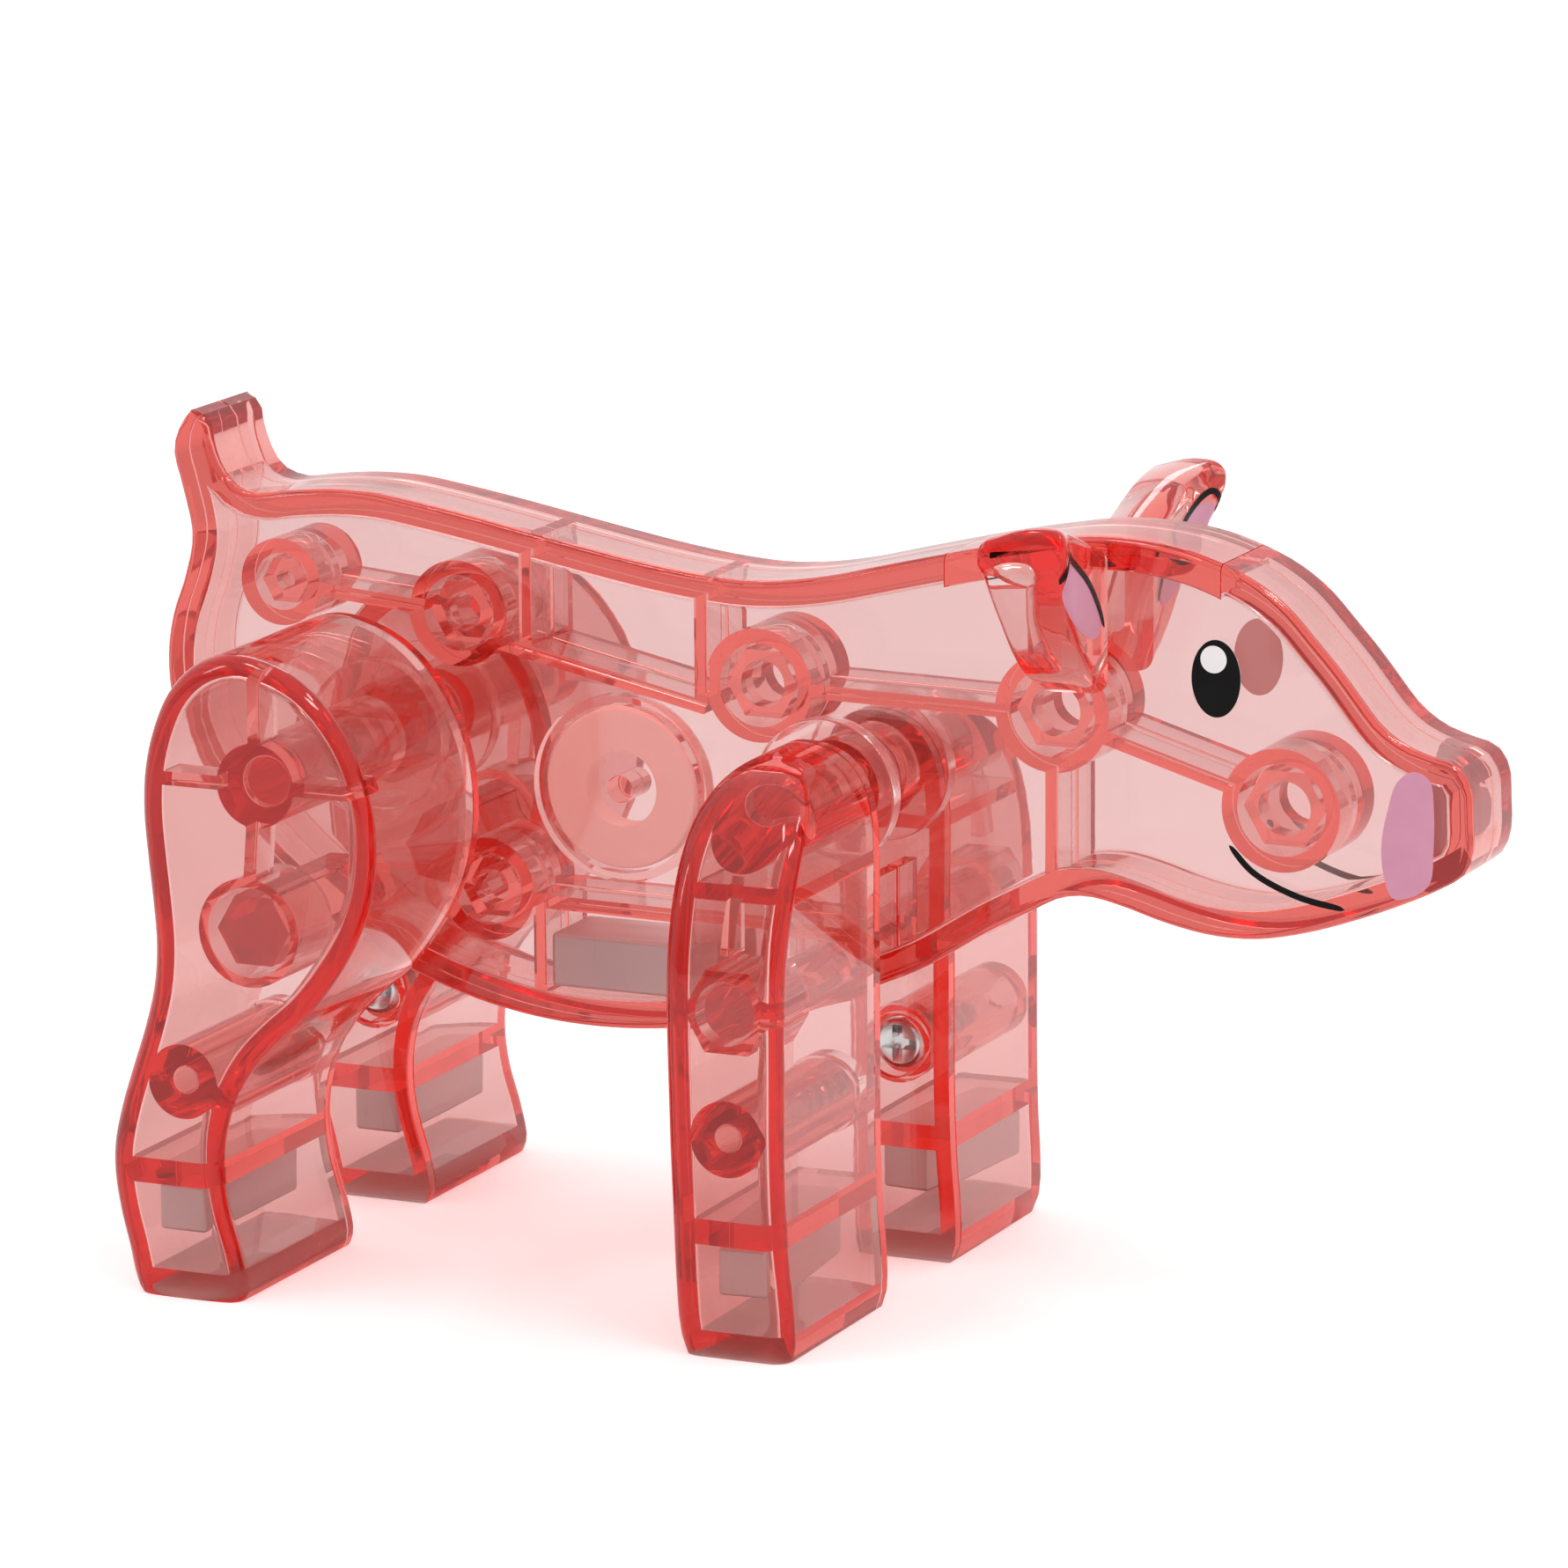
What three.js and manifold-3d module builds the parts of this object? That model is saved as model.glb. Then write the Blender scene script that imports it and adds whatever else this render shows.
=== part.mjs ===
// Clear plastic pig figure with four turning legs and loose bar magnets sealed in its feet and belly.
// Millimetres. +X is towards the snout, +Y is the pig's left side, +Z is up.
// The origin is on the ground under the middle of the figure.
import * as THREE from "three";
import { mergeVertices } from "three/addons/utils/BufferGeometryUtils.js";
import { ConvexGeometry } from "three/addons/geometries/ConvexGeometry.js";
import Module from "manifold-3d";

const wasm = await Module();
wasm.setup();

// ---------------------------------------------------------------- driving sizes

const BODY_HALF_WIDTH = 5.2; // from the parting line to a side face
const BODY_EDGE = 0.7; // rounding of the body's outer edges
const BODY_RIM = 2.2; // wall around the outline of the body
const BODY_FACE = 1.2; // side wall of the body
const PARTING_GAP = 0.2; // seam between the two halves
const RIB = 1.2; // ribs inside the body
const RIB_SHORT = 0.15; // how far the ribs stop short of the posts' ends

const WASHER_THICK = 1.75; // between a leg and the body
const WASHER_PLAY = 0.175; // on each side of a washer
const LEG_INNER = BODY_HALF_WIDTH + WASHER_THICK + 2 * WASHER_PLAY; // a leg's inner face, from the middle plane
const LEG_DEPTH = 21.0; // a leg's size across the figure
const LEG_EDGE = 1.7; // rounding of a rear leg's outer lip
const LEG_CORNER = 1.5; // rounding of a front leg's upright edges
const LEG_WALL = 1.8; // wall around a leg's outline
const LEG_FACE = 1.4; // a leg's outer face
const COVER = 1.1; // plate that closes a leg
const COVER_GAP = 0.2; // seam between a leg and its plate
const LEG_RIB = 1.2; // spokes inside a leg
const SPOKE_DEPTH = 3.2; // how far they stand in from the outer face
const SOLE = 2.2; // thickness of a leg's sole
const SHELF = 2.2; // floor between the screw and the foot chamber

const HIP = [-39.7, 45.0]; // pivot of the rear legs, X and Z
const SHOULDER = [3.2, 43.8]; // pivot of the front legs, X and Z
const AXLE_R = 2.1;
const HIP_REACH = LEG_INNER + 15.8; // how far the hip axle goes out on each side
const SHOULDER_REACH = LEG_INNER + 9.3; // and the shoulder axle, which stops under the dome
const AXLE_END = 0.5; // room past an axle's end
const AXLE_PLAY = 0.15; // running clearance around an axle
const HUB_R = AXLE_R + AXLE_PLAY + 1.35; // tube in a leg around its axle
const AXLE_BOSS_R = AXLE_R + AXLE_PLAY + 1.95; // tube in the body around an axle
const WASHER_R = AXLE_R + 4.3;

const SCREW_HEAD_R = 2.3;
const SCREW_HEAD_H = 1.3;
const SCREW_SHANK_R = 1.05;
const SCREW_LENGTH = 9.0;
const SCREW_PLAY = 0.2; // clearance around the shank
const CUP_PLAY = 0.54; // and around the head in its cup
const CUP_DEPTH = 2.2; // how far the screw head's cup goes in
const CUP_FLOOR = 1.0;
const CUP_WALL = 0.6;
const SCREW_BOSS_R = SCREW_HEAD_R + 0.95;

const FOOT_MAGNET = [4.4, 14.5, 4.1]; // X, Y, Z
const BELLY_MAGNET = [15.0, 7.4, 4.7];
const MAGNET_PLAY = 0.3; // gap between a magnet and the wall that it clings to
const MAGNET_SETBACK = 3.6; // from a leg's inner face to the foot magnet's near end
const FOOT_SHELF_Z = 9.6; // underside of the shelf over the foot chamber

const PIN_PLAY = 0.3; // a locating pin in its socket
const PIN_LENGTH = 3.0; // how far a pin reaches past the parting line

const SADDLE_BACK = 13.5; // the ear piece, from X
const SADDLE_FRONT = 38.0; // to X
const SADDLE_THICK = 2.6;
const SADDLE_GAP = 0.25;
const EAR_ROOT_GAP = 0.3; // between an ear and the side of the head
const EAR_SPAN = 13.5; // how far an ear sticks out from the head
const SADDLE_BAND = [55, 75]; // heights between which the ear piece's strip lies

const SPACER_R = 7.0; // frosted ring in the belly
const SPACER_HOLE_R = 3.3;
const SPACER_THICK = 2.6;
const SPACER_AT = [-16.9, 42.0];
const SPACER_PEG_R = 1.2;
const SPACER_FENCE = 0.8; // wall of the low fence around the ring

const ROUND_SIDES = 16;
const RING_SIDES = 24;
const BODY_POINTS = 84;
const LEG_POINTS = 44;

// ---------------------------------------------------------------- outlines, X and Z
// A leg's outline runs a little below the ground, where the flat sole cuts it off.

const BODY_OUTLINE = [
  [-57.0, 72.2], [-58.3, 70.8], [-59.0, 68.6], [-58.2, 65.2], [-57.4, 61.2], [-58.2, 57.5],
  [-59.4, 54.2], [-60.0, 50.5], [-59.6, 46.0], [-57.9, 41.6], [-55.0, 37.3], [-51.2, 33.3],
  [-46.6, 29.6], [-41.5, 26.5], [-36.0, 24.1], [-30.0, 22.3], [-24.0, 21.3], [-18.0, 21.1],
  [-12.0, 21.6], [-6.0, 22.8], [0.0, 24.5], [6.0, 26.7], [11.5, 29.2], [17.3, 32.8],
  [21.2, 34.9], [23.5, 36.1], [26.0, 36.5], [29.0, 36.0], [33.0, 34.9], [37.0, 34.2],
  [41.0, 34.2], [45.0, 35.0], [49.0, 36.3], [53.5, 38.1], [57.2, 39.9], [59.2, 41.3],
  [60.0, 43.2], [60.0, 46.0], [59.7, 48.6], [58.6, 50.2], [56.2, 50.9], [54.0, 51.7],
  [52.0, 53.1], [50.2, 55.2], [48.5, 57.3], [46.3, 59.7], [43.9, 62.2], [41.2, 64.1],
  [38.0, 65.5], [34.5, 66.5], [30.0, 67.0], [25.5, 66.9], [21.0, 66.2], [16.5, 65.3],
  [11.0, 64.0], [7.0, 63.0], [3.0, 62.0], [-1.0, 61.3], [-5.0, 61.0], [-9.0, 61.2],
  [-14.0, 61.8], [-20.0, 62.8], [-25.5, 63.8], [-31.0, 64.8], [-36.0, 65.6], [-40.0, 66.1],
  [-44.0, 66.1], [-48.0, 65.7], [-51.0, 65.3], [-53.2, 66.0], [-54.4, 67.6], [-55.1, 69.6],
  [-55.5, 71.4],
];

const REAR_OUTLINE = [
  [-43.9, -0.8], [-42.3, -0.3], [-41.6, 1.2], [-42.1, 4.2], [-43.2, 8.0], [-43.6, 11.0],
  [-43.4, 14.4], [-42.4, 17.6], [-40.6, 20.5], [-38.2, 23.0], [-35.5, 25.4], [-32.7, 28.9],
  [-30.5, 32.6], [-29.2, 36.4], [-28.8, 40.2], [-29.1, 44.0], [-30.3, 47.8], [-32.4, 51.2],
  [-35.2, 53.9], [-38.6, 55.5], [-42.0, 56.0], [-45.3, 54.9], [-47.8, 52.5], [-49.4, 49.2],
  [-50.3, 45.6], [-50.5, 42.0], [-50.2, 38.0], [-49.8, 34.0], [-49.6, 30.5], [-49.9, 27.0],
  [-50.8, 23.5], [-52.0, 20.0], [-53.2, 16.4], [-54.0, 13.0], [-54.1, 10.4], [-53.6, 7.0],
  [-52.8, 3.8], [-52.3, 1.5], [-51.6, -0.1], [-50.2, -0.8],
];

const FRONT_OUTLINE = [
  [6.8, -0.8], [8.2, -0.3], [8.9, 1.4], [8.9, 5.0], [8.6, 9.0], [8.4, 15.0], [8.4, 24.0],
  [8.4, 33.0], [8.4, 40.0], [8.1, 43.4], [7.2, 45.8], [5.6, 47.5], [3.4, 48.3], [0.8, 48.3],
  [-0.9, 47.3], [-2.0, 45.0], [-2.3, 41.5], [-2.2, 35.0], [-2.1, 28.0], [-1.9, 20.0],
  [-1.7, 12.0], [-1.6, 5.0], [-1.4, 1.6], [-1.0, -0.1], [0.3, -0.8],
];

// The front leg from the front: distance from its inner face, and Z. The shoulder is a dome.
const SHOULDER_OUTLINE = [
  [-1.0, -1.0], [LEG_DEPTH - 2.2, -1.0], [LEG_DEPTH - 1.3, -0.1], [LEG_DEPTH - 0.8, 1.8],
  [LEG_DEPTH - 0.3, 8.0], [LEG_DEPTH, 16.0], [LEG_DEPTH, 24.0], [LEG_DEPTH - 0.1, 29.5],
  [LEG_DEPTH - 0.5, 34.0], [LEG_DEPTH - 1.7, 38.0], [LEG_DEPTH - 3.8, 41.8],
  [LEG_DEPTH - 6.9, 45.0], [LEG_DEPTH - 10.4, 47.2], [LEG_DEPTH - 14.4, 48.4],
  [-1.0, 49.2],
];

// Locating posts between the body halves: X, Z and radius.
const POSTS = [
  [-49.0, 57.6, 3.8],
  [-32.0, 56.1, 4.6],
  [-3.9, 52.0, 4.9],
  [22.8, 51.8, 5.1],
  [43.1, 45.2, 5.2],
  [-29.6, 32.2, 4.5],
];

// Ribs in the body, from X, Z to X, Z.
const RIBS = [
  [-46.0, 57.3, -35.5, 56.4],
  [-25.6, 53.3, -25.6, 62.5],
  [-28.5, 53.9, -8.8, 49.7],
  [-9.2, 49.9, -9.2, 60.4],
  [0.0, 51.9, 19.0, 51.6],
  [26.8, 50.3, 39.4, 46.6],
  [22.8, 47.8, 22.8, 36.6],
  [-26.0, 31.6, 6.5, 31.2],
  [-24.6, 22.8, -24.6, 31.6],
  [-3.3, 24.5, -3.3, 31.2],
  [6.5, 28.0, 6.5, 36.5],
];

// Each leg's own pieces: the locating socket, the screw and the spokes from the hub.
const LEGS = {
  rear: {
    outline: REAR_OUTLINE,
    pivot: HIP,
    reach: HIP_REACH,
    socket: { at: [-40.6, 32.3], outer: 4.7, inner: 3.9, sides: ROUND_SIDES, pin: 3.4, pinSides: 6 },
    screw: [-47.2, 18.8],
    spokes: [[-39.7, 55.0], [-50.0, 45.0], [-29.4, 45.0], [-40.4, 36.6]],
    shelf: [-54.0, -43.2],
    magnet: [-48.3, 0],
    partition: null,
  },
  front: {
    outline: FRONT_OUTLINE,
    pivot: SHOULDER,
    reach: SHOULDER_REACH,
    socket: { at: [3.3, 29.4], outer: 3.9, inner: 2.7, sides: 6, pin: 2.3, pinSides: ROUND_SIDES },
    screw: [3.25, 18.8],
    spokes: [[3.2, 34.0]],
    shelf: [-1.6, 8.0],
    magnet: [3.55, 5],
    partition: 38.2,
  },
};

// ---------------------------------------------------------------- shape helpers

function solid(geometry) {
  const bare = geometry.index ? geometry.toNonIndexed() : geometry.clone();
  bare.deleteAttribute("normal");
  bare.deleteAttribute("uv");
  const merged = mergeVertices(bare, 1e-4);
  return new wasm.Manifold(
    new wasm.Mesh({
      numProp: 3,
      vertProperties: new Float32Array(merged.attributes.position.array),
      triVerts: new Uint32Array(merged.index.array),
    }),
  );
}

function geometryOf(shape) {
  const mesh = shape.getMesh();
  const geometry = new THREE.BufferGeometry();
  const positions = new Float32Array(mesh.numVert * 3);
  for (let i = 0; i < mesh.numVert; i++) {
    for (let axis = 0; axis < 3; axis++) {
      positions[3 * i + axis] = mesh.vertProperties[mesh.numProp * i + axis];
    }
  }
  geometry.setAttribute("position", new THREE.BufferAttribute(positions, 3));
  geometry.setIndex(new THREE.BufferAttribute(new Uint32Array(mesh.triVerts), 1));
  geometry.computeVertexNormals();
  return geometry;
}

// A closed curve through the points, as a plain polygon.
function smooth(points, count) {
  const curve = new THREE.CatmullRomCurve3(
    points.map(([x, z]) => new THREE.Vector3(x, z, 0)),
    true,
    "centripetal",
  );
  return curve.getSpacedPoints(count).slice(0, count).map((p) => [p.x, p.y]);
}

function distanceToOutline(x, z, outline) {
  let nearest = Infinity;
  for (let i = 0; i < outline.length; i++) {
    const [ax, az] = outline[i];
    const [bx, bz] = outline[(i + 1) % outline.length];
    const length2 = (bx - ax) ** 2 + (bz - az) ** 2;
    const along = Math.min(1, Math.max(0, ((x - ax) * (bx - ax) + (z - az) * (bz - az)) / length2));
    nearest = Math.min(nearest, Math.hypot(x - ax - along * (bx - ax), z - az - along * (bz - az)));
  }
  return nearest;
}

// The outline moved inwards by a wall. The outline runs counter-clockwise.
function inset(outline, wall) {
  const moved = [];
  const count = outline.length;
  for (let i = 0; i < count; i++) {
    const [px, pz] = outline[(i + count - 1) % count];
    const [nx, nz] = outline[(i + 1) % count];
    const length = Math.hypot(nx - px, nz - pz);
    const x = outline[i][0] - (wall * (nz - pz)) / length;
    const z = outline[i][1] + (wall * (nx - px)) / length;
    if (distanceToOutline(x, z, outline) > wall * 0.97) moved.push([x, z]);
  }
  return moved;
}

// The same outline with its long straight sides split, so that an inset keeps its corners.
function divided(outline, step) {
  return outline.flatMap(([ax, az], i) => {
    const [bx, bz] = outline[(i + 1) % outline.length];
    const parts = Math.max(1, Math.round(Math.hypot(bx - ax, bz - az) / step));
    return Array.from({ length: parts }, (_, k) => [ax + ((bx - ax) * k) / parts, az + ((bz - az) * k) / parts]);
  });
}

function shapeOf(outline) {
  return new THREE.Shape(outline.map(([x, z]) => new THREE.Vector2(x, z)));
}

// An outline in X and Z, extruded from y0 to y1, with its edges rounded where asked.
function plate(outline, y0, y1, edge = 0, segments = 1) {
  const geometry = new THREE.ExtrudeGeometry(shapeOf(outline), {
    depth: y1 - y0 - 2 * edge,
    bevelEnabled: edge > 0,
    bevelThickness: edge,
    bevelSize: edge,
    bevelOffset: -edge,
    bevelSegments: segments,
    steps: 1,
  });
  geometry.rotateX(Math.PI / 2);
  geometry.translate(0, y1 - edge, 0);
  return solid(geometry);
}

function block(x0, x1, y0, y1, z0, z1) {
  const geometry = new THREE.BoxGeometry(x1 - x0, y1 - y0, z1 - z0);
  geometry.translate((x0 + x1) / 2, (y0 + y1) / 2, (z0 + z1) / 2);
  return solid(geometry);
}

function rod([x, z], radius, y0, y1, sides = ROUND_SIDES) {
  const geometry = new THREE.CylinderGeometry(radius, radius, y1 - y0, sides);
  geometry.translate(x, (y0 + y1) / 2, z);
  return solid(geometry);
}

// A straight rib of a given thickness between two points in X and Z.
function rib([ax, az, bx, bz], thickness, y0, y1) {
  const length = Math.hypot(bx - ax, bz - az);
  const geometry = new THREE.BoxGeometry(length, y1 - y0, thickness);
  geometry.rotateY(-Math.atan2(bz - az, bx - ax));
  geometry.translate((ax + bx) / 2, (y0 + y1) / 2, (az + bz) / 2);
  return solid(geometry);
}

const bodyOutline = smooth(BODY_OUTLINE, BODY_POINTS);
const bodyCavity = inset(bodyOutline, BODY_RIM);

// ---------------------------------------------------------------- body halves
// Both are drawn on the pig's right side, at negative Y, and the left one is then mirrored.

// The strip along the top of the head that the ear piece fills, grown by a gap.
function saddleStrip(gap) {
  const top = inset(bodyOutline, SADDLE_THICK + gap);
  const reach = BODY_HALF_WIDTH + 1;
  return block(SADDLE_BACK - gap, SADDLE_FRONT + gap, -reach, reach, ...SADDLE_BAND)
    .subtract(plate(top, -reach - 1, reach + 1));
}

function bodyHalf(hasPins) {
  const inner = -(BODY_HALF_WIDTH - BODY_FACE);
  const seam = -PARTING_GAP / 2;
  const root = inner - BODY_FACE / 2;
  let half = plate(bodyOutline, -BODY_HALF_WIDTH, BODY_HALF_WIDTH, BODY_EDGE)
    .intersect(block(-70, 70, -BODY_HALF_WIDTH - 1, seam, 0, 80))
    .subtract(plate(bodyCavity, inner, 1));
  for (const line of RIBS) half = half.add(rib(line, RIB, root, seam - RIB_SHORT));
  for (const [x, z, radius] of POSTS) half = half.add(rod([x, z], radius, root, seam));
  for (const pivot of [HIP, SHOULDER]) half = half.add(rod(pivot, AXLE_BOSS_R, root, seam));
  half = half.subtract(bellyMagnetSpace());
  for (const [x, z, radius] of POSTS) {
    const socket = radius - 1.3;
    if (hasPins) half = half.add(rod([x, z], socket - PIN_PLAY, seam - 0.5, PIN_LENGTH, 6));
    else half = half.subtract(rod([x, z], socket, inner + 0.3, 1));
  }
  for (const pivot of [HIP, SHOULDER]) {
    half = half.subtract(rod(pivot, AXLE_R + AXLE_PLAY, -BODY_HALF_WIDTH - 1, 1));
  }
  if (!hasPins) {
    const fence = rod(SPACER_AT, SPACER_R + PIN_PLAY + SPACER_FENCE, root, inner + 1.6, RING_SIDES)
      .subtract(rod(SPACER_AT, SPACER_R + PIN_PLAY, inner, inner + 2, RING_SIDES));
    half = half.add(fence).add(rod(SPACER_AT, SPACER_PEG_R, root, seam, 12));
  }
  return half.subtract(saddleStrip(SADDLE_GAP));
}

function bellyMagnetSpace() {
  const [x0, x1, z0, z1] = bellyMagnetBox();
  return block(x0 - MAGNET_PLAY, x1 + MAGNET_PLAY, -BODY_HALF_WIDTH + BODY_FACE, 1, z0 - MAGNET_PLAY, z1 + 0.1);
}

function bellyMagnetBox() {
  const back = RIBS[8][0] + RIB / 2 + MAGNET_PLAY;
  const bottom = 21.6 + BODY_RIM + MAGNET_PLAY;
  return [back, back + BELLY_MAGNET[0], bottom, bottom + BELLY_MAGNET[2]];
}

// ---------------------------------------------------------------- ear piece

function earPoints() {
  const root = BODY_HALF_WIDTH + EAR_ROOT_GAP;
  const out = (share) => -(root + EAR_SPAN * share);
  return [
    [22.0, out(0), 53.8], [22.0, out(0.29), 55.8], [22.0, out(0.66), 61.0], [22.0, out(1), 67.0],
    [22.6, out(0.98), 68.4], [22.2, out(0.63), 68.0], [22.0, out(0.33), 66.2], [22.0, out(0), 64.5],
    [28.2, out(0), 54.0], [28.0, out(0.3), 56.4], [28.2, out(0.69), 61.6], [28.6, out(0.93), 66.2],
    [29.8, out(0.91), 69.0], [25.0, out(0.94), 69.8], [29.2, out(0.86), 69.8], [28.8, out(0.45), 68.4],
    [28.4, out(0), 66.0],
  ].map(([x, y, z]) => new THREE.Vector3(x, y, z));
}

function earPiece() {
  const strip = plate(bodyOutline, -BODY_HALF_WIDTH, BODY_HALF_WIDTH, BODY_EDGE)
    .intersect(saddleStrip(0));
  const ear = solid(new ConvexGeometry(earPoints()));
  const earMiddle = -(BODY_HALF_WIDTH + EAR_ROOT_GAP + EAR_SPAN * 0.4);
  const hollow = solid(new ConvexGeometry(earPoints().map((p) => new THREE.Vector3(
    25.2 + (p.x - 25.2) * 0.72 - 2.2,
    earMiddle + (p.y - earMiddle) * 0.66,
    62.0 + (p.z - 62.0) * 0.64,
  ))));
  const link = block(23.2, 27.6, -BODY_HALF_WIDTH - EAR_ROOT_GAP - 0.5, -BODY_HALF_WIDTH + 1, 64.6, 65.9);
  const right = ear.subtract(hollow).add(link);
  const left = solid(mirrored(geometryOf(right)));
  return strip.add(right).add(left);
}

function mirrored(geometry) {
  const copy = geometry.clone();
  copy.scale(1, -1, 1);
  const index = copy.index.array;
  for (let i = 0; i < index.length; i += 3) {
    [index[i + 1], index[i + 2]] = [index[i + 2], index[i + 1]];
  }
  return copy;
}

// ---------------------------------------------------------------- legs
// All are drawn on the pig's right side, from the inner face at -LEG_INNER outwards.

const legOuter = -(LEG_INNER + LEG_DEPTH);
const coverEnd = -(LEG_INNER + COVER);
const shellEnd = coverEnd - COVER_GAP;

function legBlank(leg) {
  const outline = smooth(leg.outline, LEG_POINTS);
  const aboveGround = block(-70, 70, legOuter - 1, 1, 0, 60);
  if (leg === LEGS.rear) return plate(outline, legOuter, 0, LEG_EDGE, 2).intersect(aboveGround);
  const side = plate(outline, legOuter, 0);
  const dome = domeBlank(0);
  const plan = new THREE.Shape();
  const [x0, x1] = [-2.4, 9.2];
  plan.moveTo(x0, 0).lineTo(x0, legOuter + LEG_CORNER);
  plan.quadraticCurveTo(x0, legOuter, x0 + LEG_CORNER, legOuter);
  plan.lineTo(x1 - LEG_CORNER, legOuter);
  plan.quadraticCurveTo(x1, legOuter, x1, legOuter + LEG_CORNER);
  plan.lineTo(x1, 0);
  const column = solid(new THREE.ExtrudeGeometry(plan, { depth: 60, bevelEnabled: false, curveSegments: 4 }));
  return side.intersect(dome).intersect(column).intersect(aboveGround);
}

// The front leg's front view, extruded along X and moved inwards by a wall.
function domeBlank(wall) {
  const outline = SHOULDER_OUTLINE.map(([out, z]) => [-(LEG_INNER + out), z]).reverse();
  const used = wall > 0 ? inset(divided(outline, 1.5), wall) : outline;
  const geometry = new THREE.ExtrudeGeometry(shapeOf(used), { depth: 30, bevelEnabled: false });
  geometry.rotateX(Math.PI / 2);
  geometry.rotateZ(Math.PI / 2);
  geometry.translate(-10, 0, 0);
  return solid(geometry);
}

function legShell(leg) {
  const outline = smooth(leg.outline, LEG_POINTS);
  const inner = legOuter + LEG_FACE;
  const root = inner - LEG_FACE / 2;
  const cavityOutline = inset(outline, LEG_WALL);
  let cavity = plate(cavityOutline, inner, 1).intersect(block(-70, 70, -30, 2, SOLE, 60));
  if (leg === LEGS.front) cavity = cavity.intersect(domeBlank(LEG_WALL));
  const blank = legBlank(leg);
  const slab = block(-70, 70, legOuter - 1, shellEnd, -1, 60);
  let inside = rod(leg.pivot, HUB_R, root, shellEnd);
  for (const [x, z] of leg.spokes) {
    inside = inside.add(rib([...leg.pivot, x, z], LEG_RIB, root, inner + SPOKE_DEPTH));
  }
  const { at, outer, sides } = leg.socket;
  inside = inside.add(rod(at, outer, root, inner + 6.4, sides));
  const bossEnd = -(LEG_INNER + CUP_DEPTH + CUP_FLOOR + COVER_GAP);
  inside = inside.add(rod(leg.screw, SCREW_BOSS_R, root, bossEnd));
  const [shelfBack, shelfFront] = leg.shelf;
  inside = inside.add(block(shelfBack, shelfFront, root, shellEnd, FOOT_SHELF_Z, FOOT_SHELF_Z + SHELF));
  if (leg.partition !== null) {
    inside = inside.add(block(shelfBack, shelfFront, root, shellEnd, leg.partition, leg.partition + LEG_RIB));
  }
  inside = inside.intersect(blank);
  let shell = blank.intersect(slab).subtract(cavity).add(inside);
  shell = shell.subtract(rod(leg.pivot, AXLE_R + AXLE_PLAY, -(leg.reach + AXLE_END), 1));
  shell = shell.subtract(rod(at, leg.socket.inner, inner + 0.2, 1, ROUND_SIDES));
  return shell.subtract(rod(leg.screw, SCREW_SHANK_R + SCREW_PLAY, inner + 1, 1, 12));
}

function legCover(leg) {
  const outline = smooth(leg.outline, LEG_POINTS);
  const { at, pin, pinSides } = leg.socket;
  const cupFloor = -(LEG_INNER + CUP_DEPTH);
  const cupR = SCREW_HEAD_R + CUP_PLAY;
  let cover = plate(outline, coverEnd, -LEG_INNER).intersect(block(-70, 70, -30, 0, 0, 60));
  if (leg === LEGS.front) cover = cover.intersect(domeBlank(0));
  const room = plate(inset(outline, LEG_WALL + COVER_GAP), legOuter, 0);
  const cup = rod(leg.screw, cupR + CUP_WALL, cupFloor - CUP_FLOOR, coverEnd + 0.2);
  const locatingPin = rod(at, pin, legOuter + LEG_FACE + 1.0, coverEnd + 0.2, pinSides);
  cover = cover.add(cup.add(locatingPin).intersect(room));
  cover = cover.subtract(rod(leg.screw, cupR, cupFloor, 0));
  cover = cover.subtract(rod(leg.screw, SCREW_SHANK_R + SCREW_PLAY, cupFloor - 3, 0, 12));
  return cover.subtract(rod(leg.pivot, AXLE_R + AXLE_PLAY, coverEnd - 1, 0));
}

function screw([x, z]) {
  const seat = -(LEG_INNER + CUP_DEPTH) + 0.15;
  const head = new THREE.LatheGeometry([
    new THREE.Vector2(0, 0),
    new THREE.Vector2(SCREW_HEAD_R, 0),
    new THREE.Vector2(SCREW_HEAD_R, 0.7),
    new THREE.Vector2(SCREW_HEAD_R * 0.78, 1.15),
    new THREE.Vector2(0, SCREW_HEAD_H),
  ], 12);
  head.translate(x, seat, z);
  const [long, wide] = [SCREW_HEAD_R - 0.5, 0.45];
  const cross = block(x - long, x + long, seat + 0.5, seat + 2, z - wide, z + wide)
    .add(block(x - wide, x + wide, seat + 0.5, seat + 2, z - long, z + long));
  return solid(head)
    .subtract(cross)
    .add(rod([x, z], SCREW_SHANK_R, seat - SCREW_LENGTH, seat + 0.2, 12));
}

function footMagnet(leg) {
  const [sizeX, sizeY, sizeZ] = FOOT_MAGNET;
  const [x, turn] = leg.magnet;
  const geometry = new THREE.BoxGeometry(sizeX, sizeY, sizeZ);
  geometry.rotateZ(THREE.MathUtils.degToRad(turn));
  geometry.translate(x, -(LEG_INNER + MAGNET_SETBACK) - sizeY / 2, FOOT_SHELF_Z - MAGNET_PLAY - sizeZ / 2);
  return solid(geometry);
}

// ---------------------------------------------------------------- assembly

const PINK = { color: 0xe9a3a8, roughness: 0.06, metalness: 0 };
const FROSTED = { color: 0xf0d2cc, roughness: 0.5, metalness: 0 };
const STEEL = { color: 0xb9bbbd, roughness: 0.25, metalness: 1 };
const MAGNET = { color: 0x8d8a8c, roughness: 0.4, metalness: 0.9 };

const pig = new THREE.Group();

function place(name, shape, look, isMirrored = false) {
  const geometry = isMirrored ? mirrored(geometryOf(shape)) : geometryOf(shape);
  const mesh = new THREE.Mesh(geometry, new THREE.MeshStandardMaterial(look));
  mesh.name = name;
  pig.add(mesh);
}

place("body_half_right", bodyHalf(false), PINK);
place("body_half_left", bodyHalf(true), PINK, true);
place("ear_piece", earPiece(), PINK);

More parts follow.
